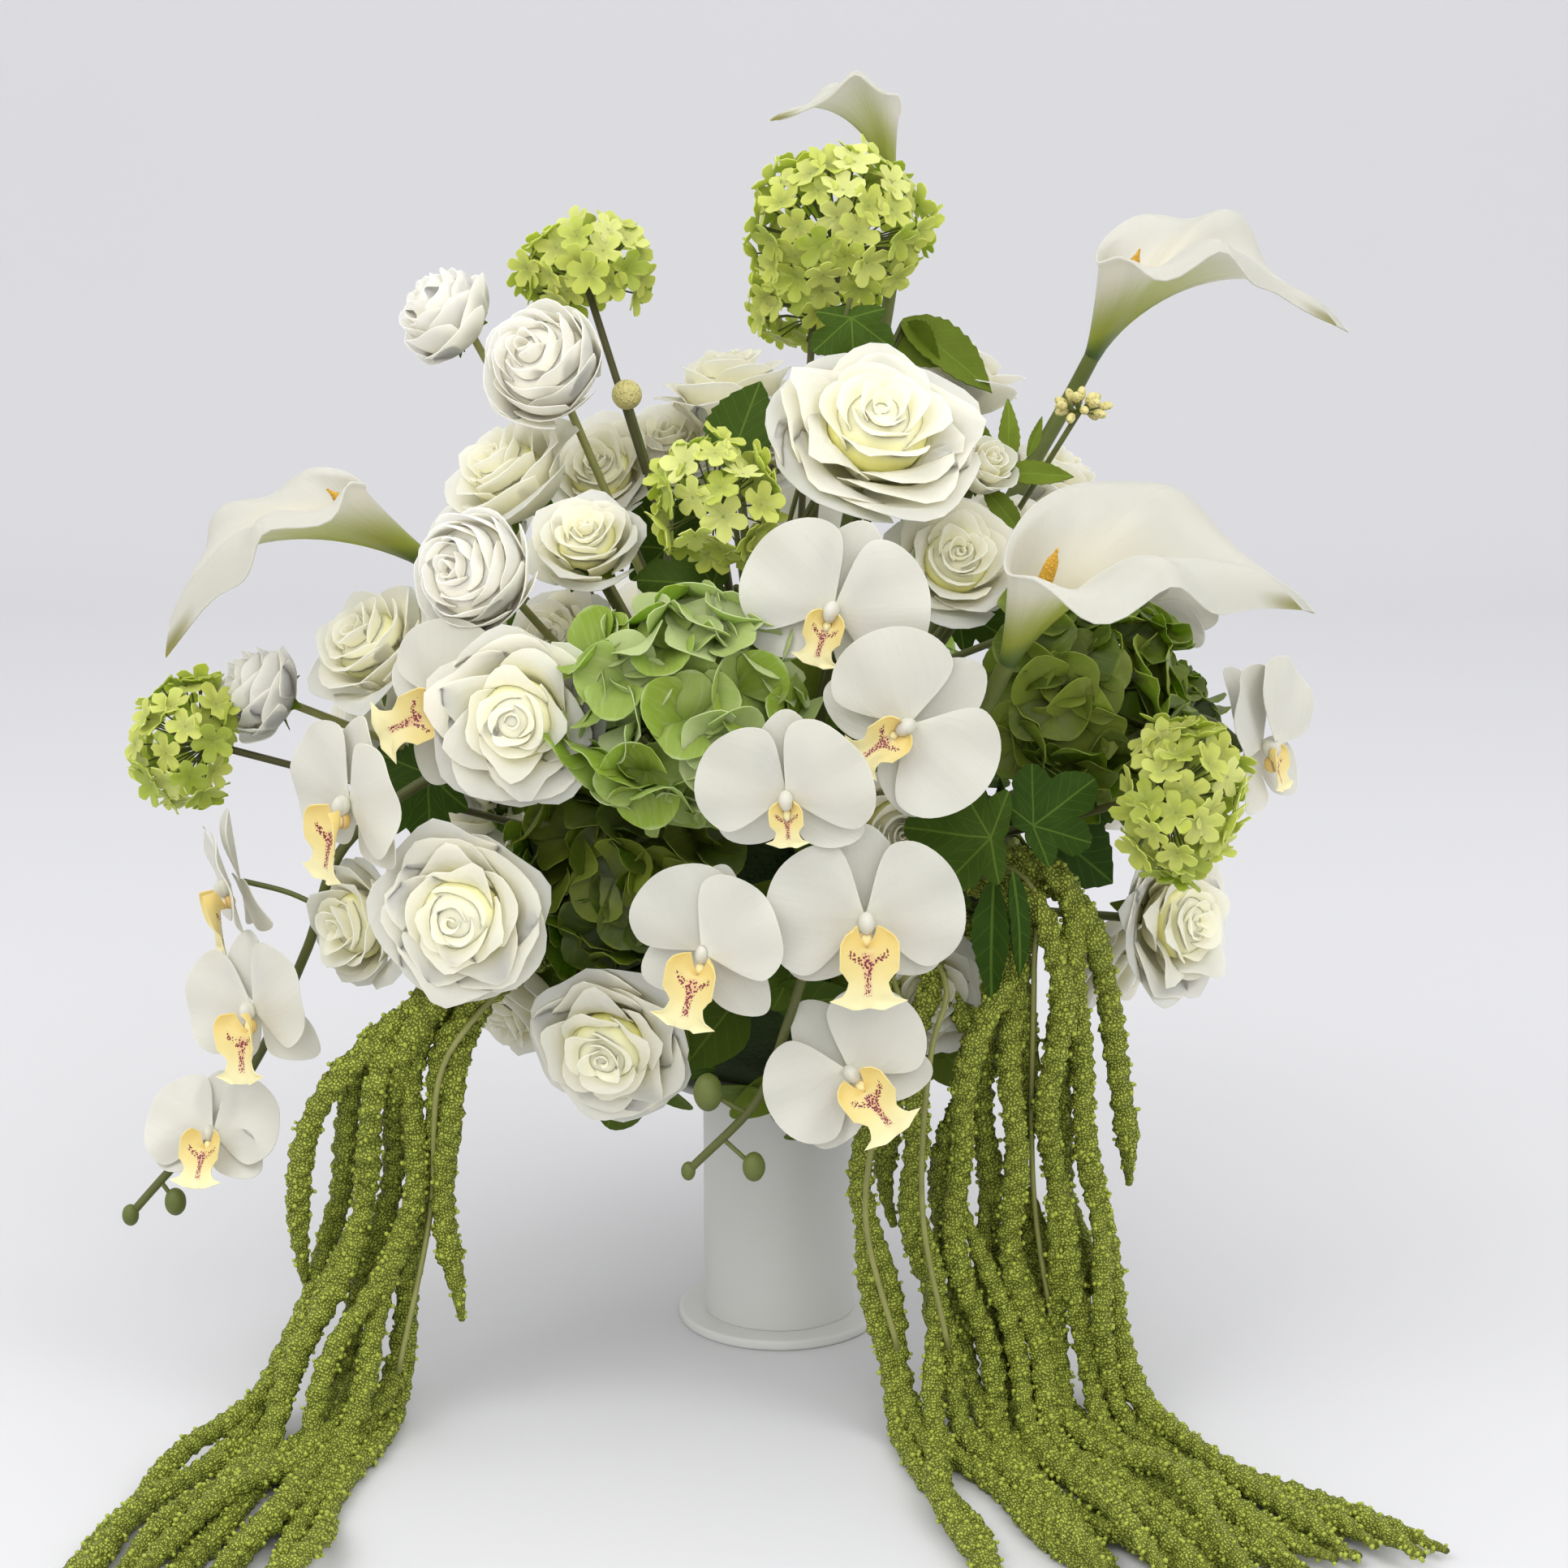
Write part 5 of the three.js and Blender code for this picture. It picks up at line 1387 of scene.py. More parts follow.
def hydrangea(head, seed):
    """A mop of four-petalled florets."""
    rng = np.random.default_rng(seed)
    r = head["r"]
    turn = turn_to(head["face"], roll=seed)
    at = np.asarray(head["at"], float)
    size = sizes().hydrangea_petal
    count = int(head["dense"] * (r / size) ** 2)
    ruffling = HYDRANGEA_RUFFLES[head.get("green", "dark")] * size
    hub = under_head(head, hub_depth(head, HYDRANGEA_SQUASH))
    sheets, stalks = [], []
    for way in even_directions(count):
        if way[2] < -0.3:
            continue
        way = unit(way + 0.15 * rng.uniform(-1, 1, 3))
        reach = (r - 0.42 * size) * rng.uniform(0.78, 1.0)
        place = at + turn @ (way * (1, 1, HYDRANGEA_SQUASH) * reach)
        facing = turn_to(unit(turn @ way + 0.36 * rng.uniform(-1, 1, 3)), roll=rng.uniform(0, 6))
        hue = rng.uniform(0, 1)
        for k in range(4):
            length, width = size * rng.uniform(0.9, 1.15), size * 0.62 * rng.uniform(0.9, 1.1)
            cup, droop, fold = rng.uniform(-0.1, 0.6), rng.uniform(-0.2, 0.3), rng.uniform(0, 0.2)
            tone = np.clip(hue + 0.25 * rng.uniform(-1, 1), 0, 1)
            petal = blade(5, 5, length, width, 0.25, 0.1, cup, droop, fold, tone)
            aside, reach = 2 * petal.pattern[:, 0] - 1, petal.pattern[:, 1]
            ruffle = np.sin(6 * reach + 3 * aside + rng.uniform(0, 6)) * (aside**2 + reach**2)
            petal.points[:, 2] += ruffling * ruffle
            leaning = facing @ spin(k * 90 + 12 * rng.uniform(-1, 1)) @ tilt(rng.uniform(2, 30))
            sheets.append(petal.placed(leaning, place))
        stalks.append(tube([hub, (hub + place) / 2 + turn[:, 2], place], 0.8, 4, 0.2, 1))
    return sheets, stalks


# Callas

SPATHE_TURNS = 72
SPATHE_LEVELS = 24


def spathe_points(turn, v, calla):
    """The calla's surface: turn goes round from the tongue, and v from the stem to the lip."""
    tongue = (1 + np.cos(turn)) / 2
    bare = np.abs((turn + math.pi) % (2 * math.pi) - math.pi)
    lip = calla["mouth"] + calla["wide"] * tongue + calla["long"] * np.exp(-bare / math.radians(12))
    rim = 52 + calla["back"] * tongue - calla["drop"] * tongue**14
    radius = 4 + (lip - 4) * v ** (1.2 + 0.45 * tongue)
    bulge = 1.108 * v - 0.207 * v**2 - 0.901 * v**3
    height = rim * (v + tongue * bulge)
    near = np.sin(turn) < 0
    crest = np.radians(np.where(near, *calla["crests"]))
    swell = np.exp(-(((bare - crest - math.radians(20)) / math.radians(48)) ** 2))
    off = bare - crest
    off = off * (1 - 0.35 * np.clip(off / math.radians(60), 0, 1))
    wave = np.where(near, *calla["waves"]) * np.cos(7.4 * off) * swell * v**3
    height = height + wave
    radius = radius - 0.5 * wave
    flare = np.clip((v - 0.9) / 0.1, 0, 1)
    radius += 2.0 * flare**2
    height -= 1.6 * flare**2
    return np.stack([radius * np.cos(turn), radius * np.sin(turn), height], axis=-1) * calla["size"]


def spathe_shell(calla):
    """The calla's inner and outer skins as one closed shell. Its pattern runs round and up, and its tone is 1 outside
    and 0 inside."""
    turn = np.arange(SPATHE_TURNS) / SPATHE_TURNS * 2 * math.pi
    turn = turn - 0.6 * np.sin(turn)
    v = np.linspace(0, 1, SPATHE_LEVELS)
    grid = spathe_points(turn[None, :], v[:, None], calla)
    away = np.cross(np.gradient(grid, axis=1), np.gradient(grid, axis=0))
    away /= np.maximum(np.linalg.norm(away, axis=2, keepdims=True), 1e-9)
    half = away * (sizes().spathe_thickness / 2)
    foot = np.array([[0, 0, 0], [0, 0, 1.5]], float)
    points = np.vstack([(grid + half).reshape(-1, 3), (grid - half).reshape(-1, 3), foot])
    count = SPATHE_LEVELS * SPATHE_TURNS
    k = np.arange(SPATHE_TURNS)
    lip, next_lip = (count - SPATHE_TURNS + way for way in (k, np.roll(k, -1)))
    skin = band_faces(SPATHE_TURNS, SPATHE_LEVELS)
    rim = np.column_stack([lip, next_lip, count + next_lip, count + lip])
    caps = [fan_faces(2 * count, k, True), fan_faces(2 * count + 1, count + k)]
    round_it = np.tile(turn / (2 * math.pi), SPATHE_LEVELS)
    pattern = np.column_stack([round_it, np.repeat(v, SPATHE_TURNS)])
    tone = np.concatenate([np.ones(count), np.zeros(count), [1, 0]])
    patterns = np.vstack([pattern, pattern, [[0, 0], [0, 0]]])
    return Surface(points, [skin, skin[:, ::-1] + count, rim, *caps], patterns, tone)


def spadix(calla):
    """The spike in the calla's throat: it leans back a little and is blunt at both ends."""
    low, high, points = 9, 66, 18
    heights = np.linspace(low, high, points)
    lean = -5 * ((heights - low) / (high - low)) ** 1.4
    route = np.column_stack([lean, np.zeros(points), heights]) * calla["size"]
    share = np.linspace(0, 1, points)
    radii = calla["size"] * 3.5 * np.sqrt(np.clip(1 - (2 * share - 0.9) ** 6, 0.02, 1))
    return tube(route, radii, 14)


# Orchids

# The outline of an orchid's lip, by the bloom's radius: half its width at each step from its foot to its end.
LIP_KNOTS = (0.0, 0.06, 0.16, 0.30, 0.42, 0.50, 0.56, 0.66, 0.76, 0.84, 0.89, 0.93, 1.0)
LIP_WIDTHS = (0.22, 0.32, 0.37, 0.36, 0.34, 0.33, 0.27, 0.20, 0.22, 0.27, 0.40, 0.30, 0.16)

# A moth orchid's sepals, by its radius: which way each points, in degrees, how long and how wide it is, and how far it
# stands in front of the middle.
ORCHID_SEPALS = ((90, 0.96, 0.36, -0.10), (214, 0.94, 0.35, -0.09), (326, 0.94, 0.35, -0.09))


def orchid_lip(r, rng):
    """The lip: two side lobes that stand up beside a notch, a waist, and an end with two horn tips."""
    s, t, faces = flat_sheet(12, 18)
    half = np.interp(t, LIP_KNOTS, LIP_WIDTHS)
    notch = 0.26 * np.clip(1 - np.abs(s) / 0.5, 0, 1) ** 0.7 * np.clip(1 - t / 0.3, 0, 1)
    down = -0.02 - 0.84 * t - notch
    wing = np.clip(1 - t / 0.62, 0, 1) ** 0.6
    forward = 0.16 + 0.30 * t - 0.14 * t**2
    forward = forward + 0.26 * wing * np.abs(s) ** 1.8 + 0.05 * (1 - wing) * np.abs(s) ** 2
    forward += 0.02 * np.sin(5 * s + rng.uniform(0, 6)) * t
    points = np.column_stack([s * half * (1 - 0.25 * wing * np.abs(s) ** 2), down, forward]) * r
    return Surface(points, faces, np.column_stack([(s + 1) / 2, t]), rng.uniform(0, 1), 1)


def orchid(bloom, seed):
    """The sheets and the solids of a moth orchid, at its place and turned the way it looks."""
    rng = np.random.default_rng(seed)
    r = bloom["r"]
    at = np.asarray(bloom["at"], float)
    turn = turn_to(bloom["face"], bloom["up"])
    raised = bloom.get("raised", 0)
    sheets = []
    for degrees, length, width, forward in ORCHID_SEPALS:
        cup, droop = rng.uniform(-0.1, 0.3), rng.uniform(-0.05, 0.15)
        sepal = blade(11, 8, length * r, width * r, 0.35, 0.2, cup, droop, 0.06)
        way = spin(degrees + 5 * rng.uniform(-1, 1)) @ tilt(rng.uniform(-8, 10))
        sheets.append(sepal.placed(turn @ way, turn @ np.array([0, 0, forward * r]) + at))
    for side in (1, -1):
        wide, cup, droop = rng.uniform(0.61, 0.70) * r, rng.uniform(-0.14, 0.08), rng.uniform(-0.02, 0.12)
        petal = blade(12, 12, 1.02 * r, wide, 0.2, 0.0, cup, droop, 0.04)
        way = spin(90 - side * (74 - raised + 6 * rng.uniform(-1, 1))) @ tilt(rng.uniform(4, 12))
        forward = 0.03 + 0.0022 * max(raised, 0) * (1 + side)
        sheets.append(petal.placed(turn @ way, turn @ np.array([0, 0, forward * r]) + at))
    for sheet in sheets:
        sheet.tone[:] = rng.uniform(0, 1)
        away = (sheet.points - at) @ turn / r
        angle = np.arctan2(away[:, 1], away[:, 0])
        ripple = 0.035 * (away[:, 0] ** 2 + away[:, 1] ** 2) * np.sin(8 * angle + seed + 3 * sheet.tone)
        sheet.points += turn[:, 2] * r * ripple[:, None]
    sheets.append(orchid_lip(r * bloom.get("lip", 1), rng).placed(turn, at))
    knob = at + turn @ np.array([0, -0.02 * r, 0.14 * r])
    throat = at + turn @ np.array([0, -0.20 * r, 0.10 * r])
    solids = [
        ball(knob, (0.085 * r, 0.12 * r, 0.11 * r), turn, 0.5, 0),
        ball(throat, (0.07 * r, 0.10 * r, 0.08 * r), turn, 0.5, 1),
    ]
    return sheets, solids


# Leaves


@functools.lru_cache(maxsize=None)
def lobed_leaf():
    """A flat leaf with five pointed, toothed lobes: its points, its place among the veins, and its faces."""
    around, rings = 90, 4
    step = math.radians(52)
    angle = (np.arange(around) + 0.5) / around * 2 * math.pi - math.pi
    lobe = np.round(np.clip(angle / step, -2, 2))
    off = np.abs(angle - lobe * step) / (step / 2)
    size = np.array([0.56, 0.80, 1.0, 0.80, 0.56])[(lobe + 2).astype(int)]
    rim = size * (1 - 0.27 * np.clip(off, 0, 1) ** 1.2)
    rim *= 1 - 0.7 * np.clip((np.abs(angle) - 2 * step) / (math.pi - 2 * step), 0, 1) ** 0.8
    rim *= 1 + 0.05 * (off * 3.5 % 1 - 0.5)
    points, pattern = [np.zeros((1, 2))], [np.zeros((1, 2))]
    for share in np.linspace(0, 1, rings + 1)[1:]:
        reach = rim * share
        points.append(np.column_stack([np.cos(angle) * reach, np.sin(angle) * reach]))
        bearing = angle - lobe * step
        pattern.append(np.column_stack([np.sin(bearing) * reach, np.cos(bearing) * reach]))
    return np.vstack(points), np.vstack(pattern), disc_faces(around, rings)


def toothed_blade(length, wide, tone, finish):
    """A pointed oval leaf with a toothed rim, folded a little along its rib."""
    s, t, faces = flat_sheet(6, 27)
    outline = np.sin(math.pi * np.clip(t, 0.01, 0.995) ** 0.8) ** 0.85
    half = wide * outline * (1 + 0.14 * (0.5 - (9 * t) % 1) * np.clip(6 * outline, 0, 1))
    height = 0.3 * np.abs(s * half) - 0.16 * t**2 + 0.012 * np.sin(11 * t) * s
    points = np.column_stack([t, s * half, height]) * length
    return Surface(points, faces, np.column_stack([s * half, t]), tone, finish)


def leaf(spec, rng, finish=0, olive=False):
    """A leaf from its foot: lobed, or a pointed oval."""
    length = spec["length"]
    turn = turn_along(spec["along"], spec["face"])
    if "wide" in spec:
        tone = rng.uniform(0.8, 1.0) if olive or "olive" in spec else rng.uniform(0, 0.4)
        return toothed_blade(length, spec["wide"], tone, finish).placed(turn, spec["at"])
    flat, pattern, faces = lobed_leaf()
    x, y = flat[:, 0], flat[:, 1]
    height = -0.12 * (x - 0.3) ** 2 - 0.22 * np.abs(y) + 0.03 * np.sin(9 * x + 5) * np.sin(8 * y + 2)
    points = np.column_stack([x * 0.74 + 0.24, y * 0.74, height]) * length
    return Surface(points, faces, pattern, rng.uniform(0, 0.3), finish).placed(turn, spec["at"])


# Amaranthus


def rope_route(fall, i):
    """The route of one rope: out of the ball, over its crest and down, then along the table or to a tip."""
    crest = np.asarray(fall["crests"][i], float)
    u = i / (len(fall["crests"]) - 1)

    def between(ends, shift):
        first, last = (np.asarray(end, float) for end in ends)
        return first + (last - first) * u + np.asarray(shift, float)

    def jitter(k, by):
        return (draw(i * 5 + k) - 0.5) * by

    layer = (1 if i % 2 else -1) * ROPE_RADIUS * 1.1
    start = over_core(crest + (0, 0, fall["lift"]), 2)
    waist = between(fall["waist"], (jitter(2, 6), layer, 0))
    brow = crest + (waist - crest) * (0.55, 0.3, 0.3) + (jitter(1, 6), layer * 0.4 - 8, 8)
    if i in fall["tips"]:
        return [start, crest, brow, waist, waist + (-jitter(6, 8), 0, -fall["tips"][i])]
    flat = ROPE_RADIUS + ROPE_FLOOR
    low = between(fall["landing"], (0, layer, 0))
    knee = low + (waist - low) * 0.42
    knee[2] = 40 - layer
    landing = between(fall["landing"], (0, -26 + layer, flat))
    end = between(fall["end"], (jitter(7, 8), jitter(8, 46), flat))
    run = landing + (end - landing) * 0.5 + (jitter(9, 8), 0, 0)
    return [start, crest, brow, waist, knee, landing, run, end]


def wound(route, seed, radius, offset):
    """A route that winds slowly round another one at an offset, sways, and stays above the table."""
    line = smooth_route(route, 10)
    first, second = frames_on(line)
    gone = np.arange(len(line)) * 10.0
    angle = seed * 2.4 + gone / (70 + 30 * draw(seed))
    begun = np.clip(gone / 60, 0, 1)
    reach = offset * begun * (1 + 0.35 * np.sin(gone / 31 + seed))
    aside = np.cos(angle) * reach + ROPE_SWAY * begun * np.sin(gone / 17 + 2 * seed)
    ahead = np.sin(angle) * reach + ROPE_SWAY * begun * np.sin(gone / 23 + seed)
    line = line + first * aside[:, None] + second * ahead[:, None]
    line[:, 2] = np.maximum(line[:, 2], radius + ROPE_FLOOR)
    return line


def strand(line, seed, radius):
    """One hanging strand: a body full of knobs, thinner at both ends, with some beads that stand off it."""
    rng = np.random.default_rng(seed)
    step = sizes().bead_spacing
    fine = smooth_route(line, step)
    gone = np.arange(len(fine)) * step
    body = np.minimum(1, np.minimum(0.45 + gone / 70, 0.3 + (gone[-1] - gone) / 50))
    body *= 1 + 0.06 * np.sin(gone / 9.7 + seed)
    around = 2 * max(int(math.pi * radius / step), 4)
    shell = tube(fine, radius * body, around)
    middle = np.repeat(fine, around, axis=0)
    away = shell.points[:-2] - middle
    round_it = shell.pattern[:-2, 0]
    angle = 2 * math.pi * round_it
    run = np.repeat(gone, around)
    knobs = np.sin(2 * angle + run / 5.1 + seed) * np.sin(run / 1.5 + 1.8 * np.sin(angle + seed))
    lumps = 0.25 * knobs + rng.uniform(-0.12, 0.12, len(away))
    shell.points[:-2] = middle + away * (1 + lumps)[:, None]
    shell.points[:, 2] = np.maximum(shell.points[:, 2], 0.1)
    # The tone follows the knobs, high on them and low between them, so the finish paints light on the knobs and shade
    # in the hollows.
    shell.tone[:-2] = np.clip(0.5 + 1.5 * lumps, 0, 1)
    half_round = np.abs(round_it - 0.5) * 2 * math.pi * radius
    shell.pattern[:-2] = np.column_stack([half_round, run + 37 * seed]) / sizes().bead_size
    loose = rng.uniform(0, 1, len(away)) < LOOSE_BEADS
    away = away[loose] / np.linalg.norm(away[loose], axis=1)[:, None]
    size = sizes().loose_bead_radius * rng.uniform(0.8, 1.2, len(away))
    centre = shell.points[:-2][loose] + away * 0.7
    centre[:, 2] = np.maximum(centre[:, 2], size + 0.1)
    shape, faces = ball_shape(4, 2)
    points = (centre[:, None, :] + shape[None] * size[:, None, None]).reshape(-1, 3)
    shift = np.arange(len(away))[:, None, None] * len(shape)
    blocks = [(block[None] + shift).reshape(-1, block.shape[1]) for block in faces]
    return [Surface(points, blocks, tone=LOOSE_TONE), shell]


# Operators


class CENTERPIECE_OT_stand(bpy.types.Operator):
    """Turns the plain white stand: a top plate, a column and a foot, with softened edges"""

    bl_idname = "centerpiece.stand"
    bl_label = "Add Stand"

    def execute(self, context):
        paint = paint_material()
        for node, bevel in (("stand_plate", 1.6), ("stand_column", 0.6), ("stand_foot", 2.0)):
            low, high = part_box(node)
            deselect_all()
            bpy.ops.mesh.primitive_cylinder_add(
                vertices=96,
                radius=(high.x - low.x) / 2,
                depth=high.z - low.z,
                location=(0, 0, (low.z + high.z) / 2),
            )
            made = context.object
            made.name = node + "_turned"
            bpy.ops.object.transform_apply(location=True, rotation=True, scale=True)
            bpy.ops.object.modifier_add(type="BEVEL")
            made.modifiers[-1].width = bevel * MM
            made.modifiers[-1].segments = 4
            bpy.ops.object.modifier_apply(modifier=made.modifiers[-1].name)
            bpy.ops.object.shade_smooth_by_angle(angle=math.radians(40))
            made.data.materials.append(paint)
            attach(made, BODY)
            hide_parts(node)
        return {"FINISHED"}


class CENTERPIECE_OT_foam(bpy.types.Operator):
    """Gives the foam ball its pitted green finish"""

    bl_idname = "centerpiece.foam"
    bl_label = "Finish Foam"

    def execute(self, context):
        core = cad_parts["foam_core"]
        core.data.materials.clear()
        core.data.materials.append(foam_material())
        return {"FINISHED"}


class CENTERPIECE_OT_roses(bpy.types.Operator):
    """Adds the roses: whorls of rolled petals round a tight spiral, with green sepals and a stem"""

    bl_idname = "centerpiece.roses"
    bl_label = "Add Roses"

    def execute(self, context):
        finishes = [rose_material(), leaf_material(), stem_material()]
        for n, (name, heads) in enumerate(ROSES.items()):
            sheets, solids = [], []
            for i, head in enumerate(heads):
                rng = np.random.default_rng(500 + 10 * n + i)
                full = head.get("full")
                whorls = OPEN_ROSE if full else BUD if head["r"] < 25 else CUPPED_ROSE
                fine = (11, 9) if full else (8, 7)
                sheets += cup_bloom(head, whorls, 100 + 10 * n + i, *fine)
                sheets += sepals(head, 5, rng)
                solids += [calyx(head), plug(head, *ROSE_PLUG)]
            solids += stems_from([cup_foot(head) for head in heads], sizes().stem_radius, 2)
            piece(name + "_bloom", finishes, [name], sheets, solids, sizes().petal_thickness)
        sheets, solids = [], []
        for i, head in enumerate(FILLER_ROSES):
            sheets += cup_bloom(head, CUPPED_ROSE, 260 + i, 7, 6)
            solids += [calyx(head), plug(head, *ROSE_PLUG)]
            solids += stems_from([cup_foot(head)], sizes().stem_radius, 2)
        piece("filler_roses", finishes, [], sheets, solids, sizes().petal_thickness)
        return {"FINISHED"}


class CENTERPIECE_OT_ranunculus(bpy.types.Operator):
    """Adds the ranunculus heads: round, white and ruffled, on thin stems"""

    bl_idname = "centerpiece.ranunculus"
    bl_label = "Add Ranunculus"

    def execute(self, context):
        finishes = [ranunculus_material(), leaf_material(), bare_stem_material()]
        for n, (name, head) in enumerate(RANUNCULUS.items()):
            rng = np.random.default_rng(800 + n)
            sheets = cup_bloom(head, FULL_RANUNCULUS, 300 + n, 10, 7) + sepals(head, 4, rng)
            solids = [calyx(head), plug(head, *RANUNCULUS_PLUG)]
            solids += stems_from([cup_foot(head)], sizes().stem_radius * 0.9, 2, 0.1)
            thickness = sizes().petal_thickness
            piece(name + "_bloom", finishes, [name], sheets, solids, thickness)
        return {"FINISHED"}


class CENTERPIECE_OT_callas(bpy.types.Operator):
    """Adds the callas: a flaring white spathe with a wavy lip, a yellow spadix and a thick stem"""

    bl_idname = "centerpiece.callas"
    bl_label = "Add Callas"

    def execute(self, context):
        finishes = [spathe_material(), stem_material()]
        grain = spadix_material()
        for number, calla in CALLAS.items():
            turn = turn_along(calla["tip"], calla["axis"])
            at = np.asarray(calla["at"], float)
            bend = at - turn[:, 2] * 34 * calla["size"]
            route = smooth_route([at + turn[:, 2] * 3, bend, over_core(bend, -STEM_DEPTH)], 6)
            stalk = tube(route, 4.3 * calla["size"] ** 0.5, 12, 0.0, 1)
            solids = [spathe_shell(calla).placed(turn, at), stalk]
            name = f"calla_{number}"
            piece(name + "_spathe", finishes, [name], solids=solids, sharp=60)
            cone = spadix(calla).placed(turn, at)
            name = f"spadix_{number}"
            piece(name + "_cone", [grain], [name], solids=[cone])
        return {"FINISHED"}


class CENTERPIECE_OT_snowballs(bpy.types.Operator):
    """Adds the lime snowballs: five-lobed florets on thin stalks"""

    bl_idname = "centerpiece.snowballs"
    bl_label = "Add Snowballs"

    def execute(self, context):
        finishes = [floret_material(), stem_material()]
        for n, (name, head) in enumerate(VIBURNUMS.items()):
            sheets, stalks = snowball(head, 40 + n)
            foot = under_head(head, hub_depth(head, head["squash"]))
            solids = stalks + stems_from([foot], 2.0, 1, 0.7)
            thickness = sizes().floret_thickness
            piece(name + "_florets", finishes, [name], sheets, solids, thickness)
        return {"FINISHED"}


class CENTERPIECE_OT_hydrangeas(bpy.types.Operator):
    """Adds the hydrangeas: mops of broad petals, one light green and the others dark"""

    bl_idname = "centerpiece.hydrangeas"
    bl_label = "Add Hydrangeas"

    def execute(self, context):
        light, dark, olive = (
            hydrangea_material(name, tuple(getattr(colours(), key)), shadow, lit)
            for name, key, shadow, lit in (
                ("Light Hydrangea", "hydrangea_light", srgb(110, 138, 36), srgb(172, 188, 138)),
                ("Dark Hydrangea", "hydrangea_dark", srgb(40, 52, 8), srgb(104, 114, 40)),
                ("Olive Hydrangea", "hydrangea_olive", srgb(62, 78, 16), srgb(132, 144, 62)),
            )
        )
        greens = {"light": light, "dark": dark, "olive": olive}
        stalk = stem_material()
        for n, (name, head) in enumerate(HYDRANGEAS.items()):
            green = head.get("green", "dark")
            sheets, stalks = hydrangea(head, 60 + n)
            foot = under_head(head, hub_depth(head, HYDRANGEA_SQUASH))
            solids = stalks + stems_from([foot], 2.6, 1)
            finishes = [greens[green], stalk]
            piece(name + "_florets", finishes, [name], sheets, solids, sizes().floret_thickness)
        return {"FINISHED"}


class CENTERPIECE_OT_orchids(bpy.types.Operator):
    """Adds the orchid sprays: white moth orchids with speckled lips, on olive stems that end in buds"""

    bl_idname = "centerpiece.orchids"
    bl_label = "Add Orchids"

    def execute(self, context):
        finishes = [orchid_material(), lip_material(), stem_material()]
        for n, (name, spray) in enumerate(ORCHID_SPRAYS.items()):
            route = smooth_route(spray["stem"], 6)
            sheets, solids = [], [tube(route, np.linspace(3.2, 2.2, len(route)), 8, 0.35, 2)]
            for i, bloom in enumerate(spray["blooms"]):
                petals, parts = orchid(bloom, 70 + 10 * n + i)
                sheets += petals
                solids += parts
                back = under_head(bloom, 0.14 * bloom["r"])
                near = route[np.argmin(np.linalg.norm(route - back, axis=1))]
                sag = (back + near) / 2 - unit(bloom["face"]) * 3
                solids.append(tube(smooth_route([near, sag, back], 4), 1.5, 8, 0.2, 2))
            for x, y, z, size in spray["buds"]:
                spot = np.array([x, y, z], float)
                near = route[np.argmin(np.linalg.norm(route - spot, axis=1))]
                radii = np.array([0.8, 0.8, 1.05]) * size
                solids.append(ball(spot, radii, tone=0.0, finish=2, segments=16, rings=12))
                if np.linalg.norm(near - spot) > 2:
                    solids.append(tube(smooth_route([near, spot], 3), 1.2, 8, 0.2, 2))
            piece(name + "_blooms", finishes, [name], sheets, solids, sizes().petal_thickness)
        return {"FINISHED"}


class CENTERPIECE_OT_leaves(bpy.types.Operator):
    """Adds the leafy stems, and the small leaves that hide the foam between the flowers"""

    bl_idname = "centerpiece.leaves"
    bl_label = "Add Leaves"

    def execute(self, context):
        finishes = [leaf_material(), stem_material()]
        rng = np.random.default_rng(7)
        for name, leaves in LEAVES.items():
            sheets = [leaf(spec, rng) for spec in leaves]
            feet = [np.asarray(spec["at"], float) + unit(spec["along"]) for spec in leaves]
            stems = stems_from(feet, 1.5, 1)
            piece(name + "_blades", finishes, [name], sheets, stems, sizes().leaf_thickness)
        fill = []
        for way in even_directions(FILLER_LEAVES):
            if way[2] < OPEN_BELOW:
                continue
            outward = unit(way + 0.15 * rng.uniform(-1, 1, 3))
            size = rng.uniform(36, 52)
            blank = blade(6, 5, size, 0.36 * size, 0.4, 0.35, 0.3, 0.2, tone=rng.uniform(0, 1))
            blank.pattern[:, 0] = (blank.pattern[:, 0] - 0.5) * 0.6
            lying = np.cross(outward, rng.uniform(-1, 1, 3))
            along = unit(lying) + rng.uniform(0.1, 1.1) * outward
            face = np.cross(np.cross(along, outward), along) + 0.3 * rng.uniform(-1, 1, 3)
            place = CORE_CENTRE + outward * (CORE_RADIUS + rng.uniform(0, 14))
            fill.append(blank.placed(turn_along(along, face), place))
        piece("filler_leaves", finishes, [], fill, [], sizes().leaf_thickness)
        return {"FINISHED"}


class CENTERPIECE_OT_berries(bpy.types.Operator):
    """Adds the spray of pale yellow berries"""

    bl_idname = "centerpiece.berries"
    bl_label = "Add Berries"

    def execute(self, context):
        rng = np.random.default_rng(5)
        tip = np.asarray(BERRY_TIP, float)
        sheets = [leaf(spec, rng, 2, olive=True) for spec in BERRY_LEAVES]
        solids = stems_from([tip], 1.5, 1) + stems_from([SEED_HEAD], 1.2, 1)
        solids.append(ball(SEED_HEAD, (8, 8, 8), finish=0, segments=20, rings=14))
        for way in even_directions(24):
            if way[2] < -0.6:
                continue
            place = tip + way * (13, 8, 9) * rng.uniform(0.7, 1.1) + (0, 0, 2)
            solids.append(ball(place, (2.3, 2.3, 3.8), turn_to(way), 0.5, 0, 10, 8))
            solids.append(tube([tip, (tip + place) / 2, place], 0.6, 6, 0.1, 1))
        finishes = [berry_material(), stem_material(), leaf_material()]
        thickness = sizes().leaf_thickness
        piece("berry_spray_beads", finishes, ["berry_spray"], sheets, solids, thickness)
        return {"FINISHED"}


